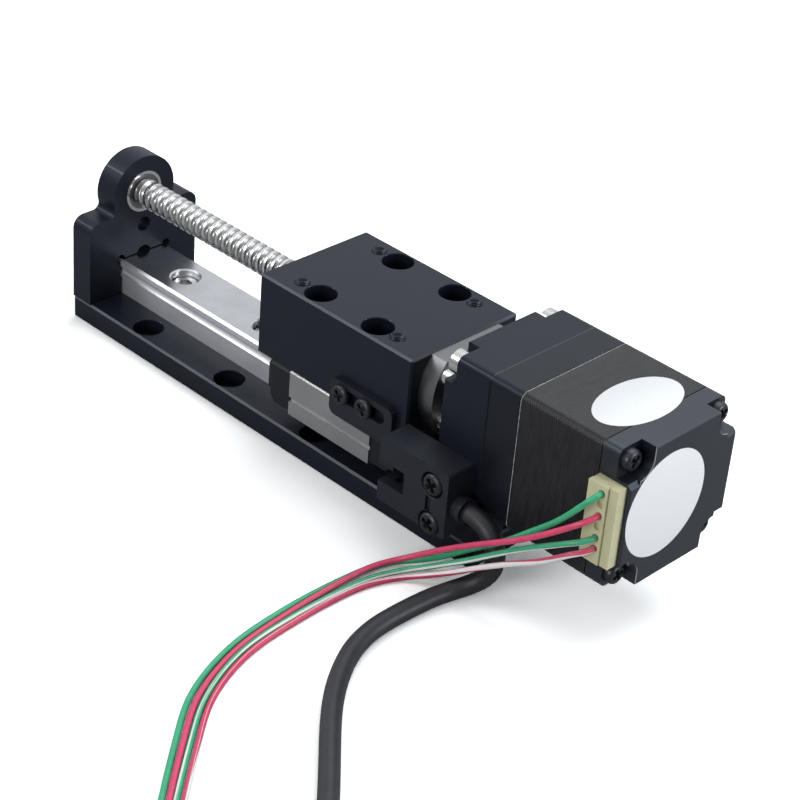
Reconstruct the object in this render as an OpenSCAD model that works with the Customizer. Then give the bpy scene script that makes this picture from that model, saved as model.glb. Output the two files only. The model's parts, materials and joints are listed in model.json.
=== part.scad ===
// Ball screw linear module: a carriage on a profiled guide rail, driven by a
// miniature ball screw that a square stepper motor turns, with a home sensor.
//
// Frame: X runs along the screw from the end block to the motor, Z is up, and
// the origin is the centre of the base plate's underside. The sensor, the flag
// and the motor's connector are on the -Y side. The carriage is drawn at home.

/* [Travel] */
// Travel of the carriage from home towards the end block
stroke = 48; // [25:1:120]
// Lead of the ball screw
lead = 2; // [1.8:0.1:3]
// Gap between the carriage and the motor bracket at home
home_gap = 8; // [7.5:0.5:14]
// Gap left between the carriage and the end block at full travel
end_gap = 2.5; // [1:0.5:8]

/* [Base plate] */
// Width of the base plate and the end block
base_w = 28; // [27.8:0.2:34]
// Thickness of the base plate
base_t = 5; // [5:0.2:8]
// Chamfer on the edges of the machined blocks
edge_c = 0.4; // [0.2:0.1:0.6]
// Pitch of the mounting holes along the base
base_pitch = 25; // [20:1:30]
// Distance from a mounting hole's centre to the long edge
base_inset = 3.7; // [3.6:0.1:3.8]

/* [Guide rail] */
// Width of the rail
rail_w = 12; // [11:0.5:13]
// Height of the rail
rail_h = 8; // [7.4:0.2:9]
// Pitch of the rail's screws
rail_pitch = 25; // [20:1:30]
// Least distance from a rail screw to the rail's end
rail_edge = 10; // [6:1:12]
// Distance from the end block's outer face to the rail's end
rail_start = 1.5; // [1:0.5:4]
// Distance from the motor's face to the rail's other end
rail_stop = 3; // [1:0.5:6]

/* [Guide block] */
// Width of the steel guide block
guide_w = 27; // [26:0.5:27.4]
// Length of the steel body between its end caps
guide_l = 21.7; // [19:0.1:26]
// Height of the assembled guide above the base plate
guide_h = 13; // [12.6:0.2:15]
// Clearance under the guide block
guide_lift = 3; // [2.6:0.2:3.4]
// Length of each plastic end cap
cap_l = 5.5; // [4:0.5:6]
// Diameter of the guide's balls
guide_ball = 2; // [1.8:0.1:2.1]

/* [Carriage] */
// Length of the carriage
carriage_l = 40; // [38:1:60]
// Width of the carriage
carriage_w = 27.5; // [27:0.1:27.6]
// Thickness of the carriage
carriage_t = 17; // [16:0.5:22]
// Height of the screw's axis above the carriage's underside
axis_rise = 9; // [8.5:0.1:9.4]
// Spacing of the load's tapped holes along X
tap_x = 25; // [24.6:0.2:26.4]
// Spacing of the load's tapped holes across Y
tap_y = 20; // [19:0.5:22]
// Tapping bore of those holes
tap_d = 2.5; // [2:0.1:3]

/* [Ball screw] */
// Outer diameter of the screw
screw_d = 5.8; // [5.4:0.1:6]
// Diameter of the recirculating balls
ball_d = 1.2; // [1:0.1:1.3]
// Diameter of the nut's body
nut_d = 12; // [11:0.2:12.4]
// Length of the nut's body behind its flange
nut_l = 18; // [14:0.5:22]
// Diameter of the nut's flange
flange_d = 23; // [22.6:0.2:24]
// Thickness of the nut's flange
flange_t = 3.6; // [3:0.2:4]
// Width across the two flats of the flange
flange_flat = 15.2; // [14.4:0.2:16]
// Turns of balls in the nut
ball_turns = 3; // [2:1:4]

/* [End block] */
// Thickness of the end block
block_t = 5.5; // [5.2:0.1:8]
// Height of the end block's shoulders above the base plate
shoulder_h = 18.2; // [17:0.2:19]
// Radius of the round head about the bearing
head_r = 7.8; // [7:0.1:9]
// Outer diameter of the end bearing
bearing_d = 9; // [8.6:0.1:10]
// Width of the end bearing
bearing_w = 4; // [3:0.5:4]

/* [Motor] */
// Width across the square motor
motor_w = 28; // [27.6:0.2:28.6]
// Length of the front cap
front_l = 7; // [6.5:0.5:10]
// Length of the lamination stack
stack_l = 18; // [14:1:40]
// Length of the rear cap
rear_l = 7; // [7:0.5:10]
// Spacing of the motor's corner screws
corner_pitch = 23; // [22.6:0.2:23.2]
// Thickness of the motor bracket
bracket_t = 10.5; // [10:0.5:14]
// Diameter of the motor shaft
shaft_d = 5; // [4.6:0.1:5.2]

/* [Sensor] */
// Length of the home sensor along X
sensor_l = 16.8; // [15.6:0.2:18]
// Height of the home sensor
sensor_h = 13.4; // [12.6:0.2:15]
// Thickness of the home sensor
sensor_t = 6.5; // [6:0.5:8]
// Height of the gap between the sensor's arms
slot_h = 4.5; // [4.2:0.1:5]
// Sensor behind its slot
sensor_back = 10.5; // [9.8:0.1:11.8]
// Thickness of the flag's sheet
flag_t = 1.2; // [0.8:0.1:1.2]

/* [Hidden] */
$fn = 48;

// Clearances
slip = 0.02;      // radial, between a ring and its seat
run = 0.1;        // radial, between a running part and its bore
loose = 0.3;      // round the rail, between parts that slide past each other

// Stations along X
base_l = block_t + end_gap + stroke + carriage_l + home_gap + bracket_t;
x_block = -base_l / 2;
x_carriage = x_block + block_t + end_gap + stroke;
x_mid = x_carriage + carriage_l / 2;
x_nut = x_carriage + carriage_l;
x_bracket = base_l / 2 - bracket_t;
x_motor = base_l / 2;
x_stack = x_motor + front_l;
x_rear = x_stack + stack_l;
x_tail = x_rear + rear_l;
x_foot = x_bracket + bracket_t / 2;

// Levels along Z
z_rail = base_t + rail_h;
z_guide = base_t + guide_h;
z_axis = z_guide + axis_rise;
z_top = z_guide + carriage_t;
z_motor = z_axis - motor_w / 2;
bracket_h = z_motor + motor_w - base_t;

// Rail and base holes
rail_l = base_l - rail_start - rail_stop;
rail_n = floor((rail_l - 2 * rail_edge) / rail_pitch) + 1;
rail_first = x_block + rail_start + (rail_l - (rail_n - 1) * rail_pitch) / 2;
base_n = floor((base_l - 24) / base_pitch) + 1;
base_first = -(base_n - 1) * base_pitch / 2;
base_hole_y = base_w / 2 - base_inset;

// Metric fasteners: [nominal, head diameter, head height, hexagon across corners]
M3 = [3, 5.5, 3, 2.9];
M25 = [2.5, 4.5, 2.5, 2.3];
tap_fit = 0.05;   // radial, between a screw and its tapped hole
through_fit = 0.2;
head_fit = 0.4;   // radial, between a head and its counterbore
m3_through = M3[0] / 2 + through_fit;
m25_through = M25[0] / 2 + through_fit / 2;
mouth_c = 0.3;    // chamfer at the mouth of the rail's counterbores
fine_c = 0.15;    // the same on the other parts
plate_c = 0.1;    // and on the base, whose counterbores come near its edge

// Counterbores in the base, and the screws that come up through it
base_cb_r = 3.15;
base_cb_h = 3.2;
foot_screw_x = [x_block + block_t / 2, x_foot];
foot_screw_y = 10;
foot_cb_r = 2.5;
foot_seat = base_t - 2.3;
foot_screw_l = 6;
rail_screw_l = 8;

// Rail counterbores and the raceway in the rail's side
rail_cb_r = 3;
rail_cb_h = 4.5;
race_z = base_t + 5.6;
race_out = 0.55;
race_r = guide_ball / 2 + 0.08;
race_y = rail_w / 2 + race_out;
return_y = 9.9;

// Carriage bolting to the guide block
bolt_x = 15;
bolt_y = 20;
bolt_cb_r = 3.1;
bolt_cb_h = 10;
bolt_grip = 3;
guide_thread = 3.5;
return_r = guide_ball / 2 + 0.15;
seal_t = 1;
cap_grip = 3;
cap_head = [3.4, 1.2];
cap_screw_y = 9;
cap_screw_z = base_t + 8.2;
M2_r = 1;
clear_bore_r = 4;
tap_depth = 6;

// Ball screw
groove_r = ball_d / 2 + 0.1;
ball_path_r = screw_d / 2 + 0.2;
screw_sides = 16;
groove_steps = 3;
thread_x0 = x_block + block_t + 0.5;
thread_x1 = x_bracket - 0.5;
journal_r = 2;
front_bearing_x = x_motor + 1.5;
rear_bearing_x = x_rear + 1.5;
shaft_end = rear_bearing_x + 4.4;

// Nut
flange_pcd = 18;
flange_angles = [30, 150, 210, 330];
wiper_r = 4;
wiper_t = 1.2;
chamber_r = ball_path_r + ball_d / 2 + 0.05;
chamber_l = ball_turns * lead + ball_d + 0.2;
chamber_x = x_nut - nut_l / 2 - chamber_l / 2;
nut_grip = 4.4;
function flange_y(a) = flange_pcd / 2 * cos(a);
function flange_z(a) = z_axis + flange_pcd / 2 * sin(a);

// End bearing and its circlip
x_end_bearing = x_block + block_t - bearing_w;
end_inner_r = 2.65;
end_outer_r = bearing_d / 2 - 0.65;
end_path_r = (end_inner_r + end_outer_r) / 2;
end_ball_r = (end_outer_r - end_inner_r) / 2;
shield_t = 0.3;
shield_in = 0.2;  // depth of a shield below the rings' faces
clip_t = 0.5;
x_circlip = x_end_bearing - clip_t - 0.1;
clip_groove_r = 1.7;

// Motor bearings
mb_d = 11;
mb_w = 4;
mb_inner_r = shaft_d / 2 + 0.7;
mb_outer_r = mb_d / 2 - 0.8;
mb_path_r = (mb_inner_r + mb_outer_r) / 2;
mb_ball_r = (mb_outer_r - mb_inner_r) / 2;
washer_t = 0.4;

// Motor inside
bore_r = 8.1;
slot_r = 11.6;
pole_n = 8;
pole_w = 2.6;
coil_t = 1;
coil_r = 9.1;        // from the axis to the coils' inner faces
coil_h = 1.6;
rotor_teeth = 50;
pilot_r = 11;
pilot_t = 2;
pocket_r = 3;
pocket_t = 2.7;
tail_pocket_r = 3;
tail_pocket_t = 3.3;
pocket_bevel = 0.8;
motor_head = [4, 1.6]; // diameter and height of the long screws' heads
cavity_r = 11.8;
end_room = 1.3;
front_grip = 4.2;
corner_r = 1.5;   // round edges of the motor and its bracket
rim_c = 0.2;      // chamfer on their rims
corner = corner_pitch / 2;

// Sensor
sensor_over = 3.85;  // from its screws to its inner end
x_sensor = x_foot + sensor_over - sensor_l;
slot_l = sensor_l - sensor_back;
z_sensor = z_guide - 9;
y_sensor = -motor_w / 2 - sensor_t;
sensor_screw_dz = 8.2;
z_sensor_mid = z_sensor + 5.5;
sensor_screw_z = [z_sensor_mid - sensor_screw_dz / 2, z_sensor_mid + sensor_screw_dz / 2];
slot_z = z_sensor + 4;
sensor_cb_r = 2.5;
sensor_cb_t = 1.6;
sensor_grip = 2.8;
sensor_head = [4.6, 1.9];
recess_w = 1.2;
recess_h = 3;
recess_t = 0.6;
window_w = 1.6;      // windows of the light barrier, in the two arms
window_l = 2.2;
window_y = y_sensor + 2.2;
window_x = x_sensor + 2;
gland_r = 2.4;
gland_l = 2;
gland_y = y_sensor + 3.3;
gland_z = z_sensor + 5.8;

// Flag
flag_x0 = x_nut - 18.7;
flag_l = 16.1;
flag_z0 = z_guide - 2.3;
flag_z1 = z_guide + 5.5;
flag_y = -carriage_w / 2 - flag_t;
flag_slot = [12.7, 2.8];
flag_slot_x = x_nut - 10.85;
flag_slot_z = z_guide + 2.9;
flag_screw_x = [x_nut - 15.6, x_nut - 9.6];
flag_grip = 2.6;
flag_head = [4, 1];
flag_corner = 1.6;
neck_w = 3.5;
neck_x = flag_x0 + flag_l - 1.4;
blade_z = slot_z + slot_h / 2 - flag_t / 2;
blade_l = 3.7;
blade_out = 3.5;
blade_root = 1.2;

// Connector on the motor's side
pin_pitch = 2.2;
pin_n = 6;
pin_w = 0.5;
pin_out = 0.9;
wired_pins = [0, 2, 4, 5];
header_x = x_rear + 0.4;
header_w = 5.8;
header_l = 15.6;
header_z = z_axis - 7.7;
header_in = 3.2;     // depth of the header inside the rear cap
header_out = 1.4;    // height of its thin walls above the motor's side
header_wall = 0.7;
key_wall = 1.7;      // thick wall beside the rear screws
key_out = 2.2;
plug_cap = 1.2;
header_floor = 1.9;  // depth of its floor below the motor's side
pin_x = x_rear + 3.2;
pin_z = z_axis + 0.8;
y_header = -motor_w / 2;
y_plug = y_header - header_out - plug_cap;
entry_r = 0.7;
entry_t = 0.3;       // depth of a wire entry round its lead
function pin_height(i) = pin_z + ((pin_n - 1) / 2 - i) * pin_pitch;
function is_wired(i) = len(search(i, wired_pins)) > 0;

// Free cords, as points chosen by hand: out of the plug or the gland, down to
// the surface that the module stands on, and along it to the coil
lead_d = 1.1;
cable_d = 3.6;
lead_coil_at = [90, -100.6];
lead_coil_r = [7.3, 12.3];
lead_coil_h = 5;
cable_coil_at = [130, -85];
cable_coil_r = [15.6, 26.8];
cable_coil_h = 7.8;
green_route = [
  [85.45, -16.3, 33.3], [85.45, -17, 33.3], [85.3, -18.2, 33.05], [84.7, -19.1, 32.4],
  [83.4, -19.5, 30.6], [79.8, -19.8, 26.2], [74.4, -20, 21], [68.6, -20, 15.6],
  [62, -20, 10.4], [55.4, -20.2, 5], [50.6, -20.8, 1.8], [47.6, -23, 0.8],
  [45.8, -27.4, 0.6], [45, -34.6, 0.6], [45, -48, 0.6], [46.8, -61.8, 0.6],
  [51.8, -74.4, 0.6], [60.2, -85.2, 0.6], [77.8, -104.9, 0.6]
];
red_route = [
  [85.45, -16.3, 28.9], [85.45, -17, 28.9], [85.25, -18.2, 28.7], [84.6, -19.2, 28.2],
  [83.2, -20, 27.1], [79.6, -21, 24.2], [74, -21.8, 20], [69.8, -22, 17.2],
  [63.4, -21.8, 12.8], [56.8, -21.6, 8], [51.8, -22, 4.2], [48.6, -23.8, 2.2],
  [46.7, -28, 1.7], [46, -34.6, 1.2], [46.2, -48, 0.6], [48, -61.4, 0.6],
  [53, -73.8, 0.6], [61, -84.2, 0.6], [77.2, -102.5, 0.6]
];
green_white_route = [
  [85.45, -16.3, 24.5], [85.45, -17, 24.5], [85.2, -18.2, 24.4], [84.4, -19.2, 24.1],
  [82.8, -20, 23.4], [80, -20.6, 21.7], [75.6, -21.2, 18.9], [69.8, -21.6, 14.7],
  [63.4, -21.6, 9.6], [56.8, -21.8, 4.8], [52.4, -22.6, 1.9], [49.8, -24.8, 0.8],
  [48.2, -28.8, 0.6], [47.4, -34.4, 0.6], [47.4, -48, 0.6], [49, -61.2, 0.6],
  [54, -73.2, 0.6], [61.8, -83.4, 0.6], [77.2, -100.9, 0.6]
];
red_white_route = [
  [85.45, -16.3, 22.3], [85.45, -17, 22.3], [85.2, -18.2, 22.2], [84.4, -19.2, 21.9],
  [83, -19.9, 21.1], [80.6, -20.5, 19.2], [77.2, -21, 16.8], [72, -21.4, 13.6],
  [65.8, -21.8, 9.4], [59.6, -22.2, 4.9], [54.8, -23, 1.9], [51.8, -25.2, 0.8],
  [49.6, -29.6, 0.6], [48.6, -35, 0.6], [48.6, -48, 0.6], [50.2, -61, 0.6],
  [55, -72.6, 0.6], [62.8, -82.6, 0.6], [77, -98.9, 0.6]
];
cable_route = [
  [57.75, -17.2, 14.8], [59.9, -17.2, 14.8], [63, -17.2, 13.9], [65.2, -17.3, 11.6],
  [66, -17.5, 8.6], [65.1, -18, 5.6], [63.1, -19.3, 3.3], [61.3, -21.6, 2.1],
  [60.2, -24.8, 1.8], [59.7, -29, 1.8], [59.5, -34, 1.8], [59.6, -40, 1.8],
  [61.2, -46.6, 1.8], [64.6, -53, 1.8], [69.6, -59.6, 1.8], [84, -74, 1.8],
  [102.2, -92.2, 1.8]
];

// ---------------------------------------------------------------- helpers

// Straight rod or bore along X, from x to x + l
module rod_x(x, r, l, y = 0, z = z_axis) {
  translate([x, y, z]) rotate([0, 90, 0]) cylinder(r = r, h = l);
}

// Plate with a YZ profile, from x to x + l
module plate_x(x, l) {
  translate([x, 0, 0]) rotate([90, 0, 90]) linear_extrude(l) children();
}

// Plate with an XZ profile, from y to y - l
module plate_y(y, l) {
  translate([0, y, 0]) rotate([90, 0, 0]) linear_extrude(l) children();
}

// Ring along X
module ring_x(x, r_in, r_out, l) {
  difference() {
    rod_x(x, r_out, l);
    rod_x(x - 1, r_in, l + 2);
  }
}

// Rectangle with all four corners cut at 45 degrees
module cut_rect(w, h, c) {
  polygon([
    [c, 0], [w - c, 0], [w, c], [w, h - c],
    [w - c, h], [c, h], [0, h - c], [0, c]
  ]);
}

// Rectangle with round corners
module round_rect(w, h, r) {
  translate([r, 0]) square([w - 2 * r, h]);
  translate([0, r]) square([w, h - 2 * r]);
  for (x = [r, w - r], y = [r, h - r]) translate([x, y]) circle(r);
}

// Slot with round ends, centred
module round_slot(l, w) {
  square([l - w, w], center = true);
  for (s = [-1, 1]) translate([s * (l - w) / 2, 0]) circle(w / 2);
}

// Box with all its edges chamfered, from one corner
module cut_box(size, c) {
  intersection() {
    linear_extrude(size[2]) cut_rect(size[0], size[1], c);
    translate([0, size[1], 0]) rotate([90, 0, 0])
      linear_extrude(size[1]) cut_rect(size[0], size[2], c);
    rotate([90, 0, 90]) linear_extrude(size[0]) cut_rect(size[1], size[2], c);
  }
}

// Socket head cap screw: its seat is at z = 0, its shank points down
module cap_screw(m, l) {
  chamfer = 0.25;
  difference() {
    union() {
      cylinder(r = m[1] / 2, h = m[2] - chamfer);
      translate([0, 0, m[2] - chamfer])
        cylinder(r1 = m[1] / 2, r2 = m[1] / 2 - chamfer, h = chamfer);
      translate([0, 0, -l]) cylinder(r = m[0] / 2, h = l);
    }
    translate([0, 0, m[2] / 2]) cylinder(d = m[3], h = m[2], $fn = 6);
  }
}

// Pan head screw with a cross recess, placed as the cap screw is
module pan_screw(m_d, head_d, head_h, l) {
  arm = [head_d * 0.58, head_d * 0.16, head_h];
  difference() {
    union() {
      rotate_extrude() polygon([
        [0, 0], [head_d / 2, 0], [head_d / 2, head_h * 0.45],
        [head_d * 0.43, head_h * 0.8], [head_d * 0.3, head_h], [0, head_h]
      ]);
      translate([0, 0, -l]) cylinder(r = m_d / 2, h = l);
    }
    for (a = [45, 135]) rotate([0, 0, a]) translate([0, 0, head_h])
      cube([arm[0], arm[1], arm[2]], center = true);
  }
}

// Counterbored hole with its mouth at z = 0, cut downwards
module counterbore(hole_r, cb_r, cb_h, depth, mouth = fine_c) {
  translate([0, 0, -depth]) cylinder(r = hole_r, h = depth + 1);
  translate([0, 0, -cb_h]) cylinder(r = cb_r, h = cb_h + 1);
  translate([0, 0, -mouth]) cylinder(r1 = cb_r, r2 = cb_r + mouth, h = mouth);
}

// Tapping bore with a chamfered mouth at z = 0, cut downwards
module tapped_bore(d, depth) {
  translate([0, 0, -depth]) cylinder(r = d / 2, h = depth + 1);
  translate([0, 0, -0.4]) cylinder(r1 = d / 2, r2 = d / 2 + 0.4, h = 0.4);
}

// Places at the four corners of a rectangle
module at_corners(x, y, z, dx, dy) {
  for (sx = [-1, 1], sy = [-1, 1]) translate([x + sx * dx / 2, y + sy * dy / 2, z]) children();
}

// Motor's corner places, turned so that +Z of the child points along X
module at_motor_corners(x) {
  for (sy = [-1, 1], sz = [-1, 1])
    translate([x, sy * corner, z_axis + sz * corner]) rotate([0, 90, 0]) children();
}

// Bearing ring from r_in to r_out, with the groove that its balls run in
module bearing_ring(x, r_in, r_out, w, r_path, r_ball) {
  translate([x, 0, z_axis]) rotate([0, 90, 0]) rotate_extrude() difference() {
    translate([r_in, 0]) square([r_out - r_in, w]);
    translate([r_path, w / 2]) circle(r_ball + 0.05);
  }
}

module bearing_balls(x, w, r_path, r_ball, n) {
  for (i = [0 : n - 1]) translate([x + w / 2, 0, z_axis])
    rotate([360 * i / n, 0, 0]) translate([0, 0, r_path]) sphere(r_ball, $fn = 24);
}

// ------------------------------------------------------- swept cord tubes

function unit(v) = v / norm(v);
function tangent(p, i) =
  i == 0 ? unit(p[1] - p[0]) :
  i == len(p) - 1 ? unit(p[i] - p[i - 1]) :
  unit(unit(p[i + 1] - p[i]) + unit(p[i] - p[i - 1]));
function side_start(t) = unit(cross(t, abs(t[2]) < 0.9 ? [0, 0, 1] : [1, 0, 0]));
function carry(u, t) = unit(u - (u * t) * t);
function sides(p, i, u) =
  i == len(p) ? [] :
  let (v = carry(u, tangent(p, i))) concat([v], sides(p, i + 1, v));
function ring_points(c, t, u, r, n) =
  let (w = cross(t, u)) [for (k = [0 : n - 1]) c + r * (cos(360 * k / n) * u + sin(360 * k / n) * w)];

// Tube of n sides along the points of a route
module tube(p, d, n = 8) {
  u = sides(p, 0, side_start(tangent(p, 0)));
  m = len(p);
  points = [for (i = [0 : m - 1]) each ring_points(p[i], tangent(p, i), u[i], d / 2, n)];
  walls = [for (i = [0 : m - 2], k = [0 : n - 1])
    let (a = i * n + k, b = i * n + (k + 1) % n) each [[a, b + n, b], [a, a + n, b + n]]];
  start = [[for (k = [0 : n - 1]) k]];
  stop = [[for (k = [n - 1 : -1 : 0]) (m - 1) * n + k]];
  polyhedron(points, concat(start, walls, stop), convexity = 8);
}

// ------------------------------------------------------- helical ball groove

// Depth of the groove below the screw's outside, at s along one lead
function groove_cut(s) =
  let (off = s - lead / 2, rise = groove_r * groove_r - off * off)
    rise <= 0 ? 0 : max(0, screw_d / 2 - ball_path_r + sqrt(rise));
half_groove = sqrt(groove_r * groove_r - pow(ball_path_r - screw_d / 2, 2));
// Places along one lead: the land's start and the points of the groove's arc
groove_s = concat([0], [for (i = [0 : groove_steps])
  lead / 2 - half_groove * cos(180 * i / groove_steps)]);
thread_turns = (thread_x1 - thread_x0) / lead - 1.2;
thread_rows = floor(thread_turns * screw_sides);
fade_rows = screw_sides;
function fade(i) = min(1, i / fade_rows, max(0, (thread_rows - i) / fade_rows));
helix_x0 = thread_x0 + 0.1;
row_n = len(groove_s);
function helix_point(i, j) =
  let (a = 360 * i / screw_sides, r = screw_d / 2 - groove_cut(groove_s[j]) * fade(i))
    [helix_x0 + lead * i / screw_sides + groove_s[j], r * cos(a), z_axis + r * sin(a)];
function ring_x_point(x, k) =
  let (a = 360 * k / screw_sides)
    [x, screw_d / 2 * cos(a), z_axis + screw_d / 2 * sin(a)];

// Threaded length as one closed mesh: rows of one groove section each, wound
// round the axis, with a flat disc at each end
module threaded_rod() {
  n = screw_sides;
  rows = thread_rows;
  // Rows 0 to rows carry whole sections; the next n rows only their first point
  grid = [for (i = [0 : rows], j = [0 : row_n - 1]) helix_point(i, j)];
  tail = [for (i = [rows + 1 : rows + n]) helix_point(i, 0)];
  head_ring = [for (k = [0 : n - 1]) ring_x_point(thread_x0, k)];
  tail_ring = [for (k = [0 : n - 1]) ring_x_point(thread_x1, rows + k)];
  t0 = len(grid);
  h0 = t0 + len(tail);
  e0 = h0 + n;
  // Index of point j of row i, where j = row_n is the next turn's first point
  function at(i, j) = j < row_n ? (i <= rows ? i * row_n + j : t0 + i - rows - 1) : at(i + n, 0);
  sections = [for (i = [0 : rows - 1], j = [0 : row_n - 1]) each [
    [at(i, j), at(i + 1, j + 1), at(i + 1, j)], [at(i, j), at(i, j + 1), at(i + 1, j + 1)]
  ]];
  head_band = [for (k = [0 : n - 2]) each [
    [h0 + k, at(k + 1, 0), h0 + k + 1], [h0 + k, at(k, 0), at(k + 1, 0)]
  ]];
  head_close = [concat([at(n - 1, 0)], [for (j = [row_n : -1 : 0]) at(0, j)], [h0, h0 + n - 1])];
  tail_band = [for (k = [1 : n - 1]) each [
    [at(rows + k, 0), e0 + (k + 1) % n, at(rows + k + 1, 0)], [at(rows + k, 0), e0 + k, e0 + (k + 1) % n]
  ]];
  tail_close = [concat([e0 + 1, at(rows + 1, 0)], [for (j = [0 : row_n]) at(rows, j)], [e0])];
  discs = [[for (k = [0 : n - 1]) h0 + k], [for (k = [n - 1 : -1 : 0]) e0 + k]];
  polyhedron(concat(grid, tail, head_ring, tail_ring),
    concat(sections, head_band, head_close, tail_band, tail_close, discs), convexity = 20);
}

// ------------------------------------------------------------ base and rail

module base_plate() {
  color([0.13, 0.13, 0.14]) difference() {
    translate([x_block, -base_w / 2, 0]) cut_box([base_l, base_w, base_t], edge_c);
    for (i = [0 : base_n - 1], s = [-1, 1])
      translate([base_first + i * base_pitch, s * base_hole_y, base_t])
        counterbore(m3_through, base_cb_r, base_cb_h, base_t, plate_c);
    for (i = [0 : rail_n - 1]) translate([rail_first + i * rail_pitch, 0, -1])
      cylinder(r = M3[0] / 2 + tap_fit, h = base_t + 2);
    for (x = foot_screw_x, s = [-1, 1]) translate([x, s * foot_screw_y, 0])
      mirror([0, 0, 1]) counterbore(m25_through, foot_cb_r, foot_seat, base_t);
  }
}

module guide_rail() {
  half = rail_w / 2;
  top_c = 0.5;
  relief = 0.5;
  color([0.72, 0.74, 0.76]) difference() {
    plate_x(x_block + rail_start, rail_l) polygon([
      [relief - half, base_t], [half - relief, base_t],
      [half - relief, race_z - 1.8], [half, race_z - 1.3],
      [half, z_rail - top_c], [half - top_c, z_rail],
      [top_c - half, z_rail], [-half, z_rail - top_c],
      [-half, race_z - 1.3], [relief - half, race_z - 1.8]
    ]);
    for (s = [-1, 1]) rod_x(x_block, race_r, base_l, s * race_y, race_z);
    for (i = [0 : rail_n - 1]) translate([rail_first + i * rail_pitch, 0, z_rail])
      counterbore(m3_through, rail_cb_r, rail_cb_h, rail_h, mouth_c);
  }
}

module rail_screws() {
  color([0.74, 0.74, 0.75]) for (i = [0 : rail_n - 1])
    translate([rail_first + i * rail_pitch, 0, z_rail - rail_cb_h]) cap_screw(M3, rail_screw_l);
}

// Screws that hold the end block and the motor bracket from under the base
module foot_screws() {
  color([0.1, 0.1, 0.11]) for (x = foot_screw_x, s = [-1, 1])
    translate([x, s * foot_screw_y, foot_seat]) mirror([0, 0, 1]) cap_screw(M25, foot_screw_l);
}

// Tapped holes for those screws, in a block that stands on the base at x
module foot_taps(x) {
  for (s = [-1, 1]) translate([x, s * foot_screw_y, base_t - 1])
    cylinder(r = M25[0] / 2 + tap_fit, h = foot_seat + foot_screw_l + 1.3 - base_t);
}

// Slot for the rail through a block, with relieved corners
module rail_slot(x, l) {
  half = rail_w / 2 + 0.15;
  top = z_rail + 0.2;
  plate_x(x, l) {
    translate([-half, base_t - 1]) square([2 * half, top - base_t + 1]);
    for (s = [-1, 1]) translate([s * (half - 0.2), top - 0.1]) circle(1);
  }
}

// ---------------------------------------------------------------- end block

module end_block_outline() {
  r = 2.5;
  rf = 1.5;
  half = base_w / 2;
  top = base_t + shoulder_h;
  fillet_y = sqrt(pow(head_r + rf, 2) - pow(z_axis - top - rf, 2));
  k = head_r / (head_r + rf);
  touch = [fillet_y * k, z_axis - (z_axis - top - rf) * k];
  translate([-half, base_t]) square([base_w, shoulder_h - r]);
  translate([r - half, base_t]) square([base_w - 2 * r, shoulder_h]);
  for (s = [-1, 1]) translate([s * (half - r), top - r]) circle(r);
  translate([0, z_axis]) circle(head_r);
  difference() {
    polygon([
      [-fillet_y, top - 1], [fillet_y, top - 1], [fillet_y, top + rf], touch,
      [0, z_axis], [-touch[0], touch[1]], [-fillet_y, top + rf]
    ]);
    for (s = [-1, 1]) translate([s * fillet_y, top + rf]) circle(rf);
  }
}

module end_block() {
  color([0.13, 0.13, 0.14]) difference() {
    plate_x(x_block, block_t) end_block_outline();
    rail_slot(x_block - 1, block_t + 2);
    rod_x(x_block - 1, 1.9, block_t + 2, 0, z_rail - 0.4);
    rod_x(x_block - 1, 1.6, block_t + 2, 0, z_rail + 6.5);
    rod_x(x_block + block_t - bearing_w, bearing_d / 2, bearing_w + 1);
    rod_x(x_block - 1, bearing_d / 2 - 0.9, block_t + 2);
    foot_taps(foot_screw_x[0]);
  }
}

module end_bearing_outer() {
  color([0.75, 0.76, 0.78])
    bearing_ring(x_end_bearing, end_outer_r, bearing_d / 2 - slip, bearing_w, end_path_r, end_ball_r);
}

module end_bearing_inner() {
  color([0.75, 0.76, 0.78])
    bearing_ring(x_end_bearing, journal_r + slip, end_inner_r, bearing_w, end_path_r, end_ball_r);
}

module end_bearing_balls() {
  color([0.8, 0.81, 0.83]) bearing_balls(x_end_bearing, bearing_w, end_path_r, end_ball_r, 7);
}

// Sheet shields pressed into the outer ring, which run clear of the inner one
module end_bearing_shields() {
  color([0.6, 0.61, 0.63]) for (x = [shield_in, bearing_w - shield_in - shield_t])
    ring_x(x_end_bearing + x, end_inner_r + run, end_outer_r, shield_t);
}

module end_circlip() {
  color([0.35, 0.35, 0.37]) difference() {
    ring_x(x_circlip, clip_groove_r + slip, 3.1, clip_t);
    translate([x_circlip - 1, -0.9, z_axis - 4]) cube([clip_t + 2, 1.8, 4]);
  }
}

// --------------------------------------------------------------- ball screw

module ball_screw() {
  x_shoulder = x_block + block_t;
  color([0.62, 0.6, 0.58]) {
    threaded_rod();
    rod_x(x_shoulder, screw_d / 2 - 0.15, thread_x0 + 0.4 - x_shoulder);
    difference() {
      rod_x(x_block + 0.4, journal_r, x_shoulder - x_block);
      ring_x(x_circlip, clip_groove_r, journal_r + 1, clip_t);
    }
    rod_x(thread_x1 - 0.4, shaft_d / 2, shaft_end - thread_x1 + 0.4);
  }
}

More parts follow.
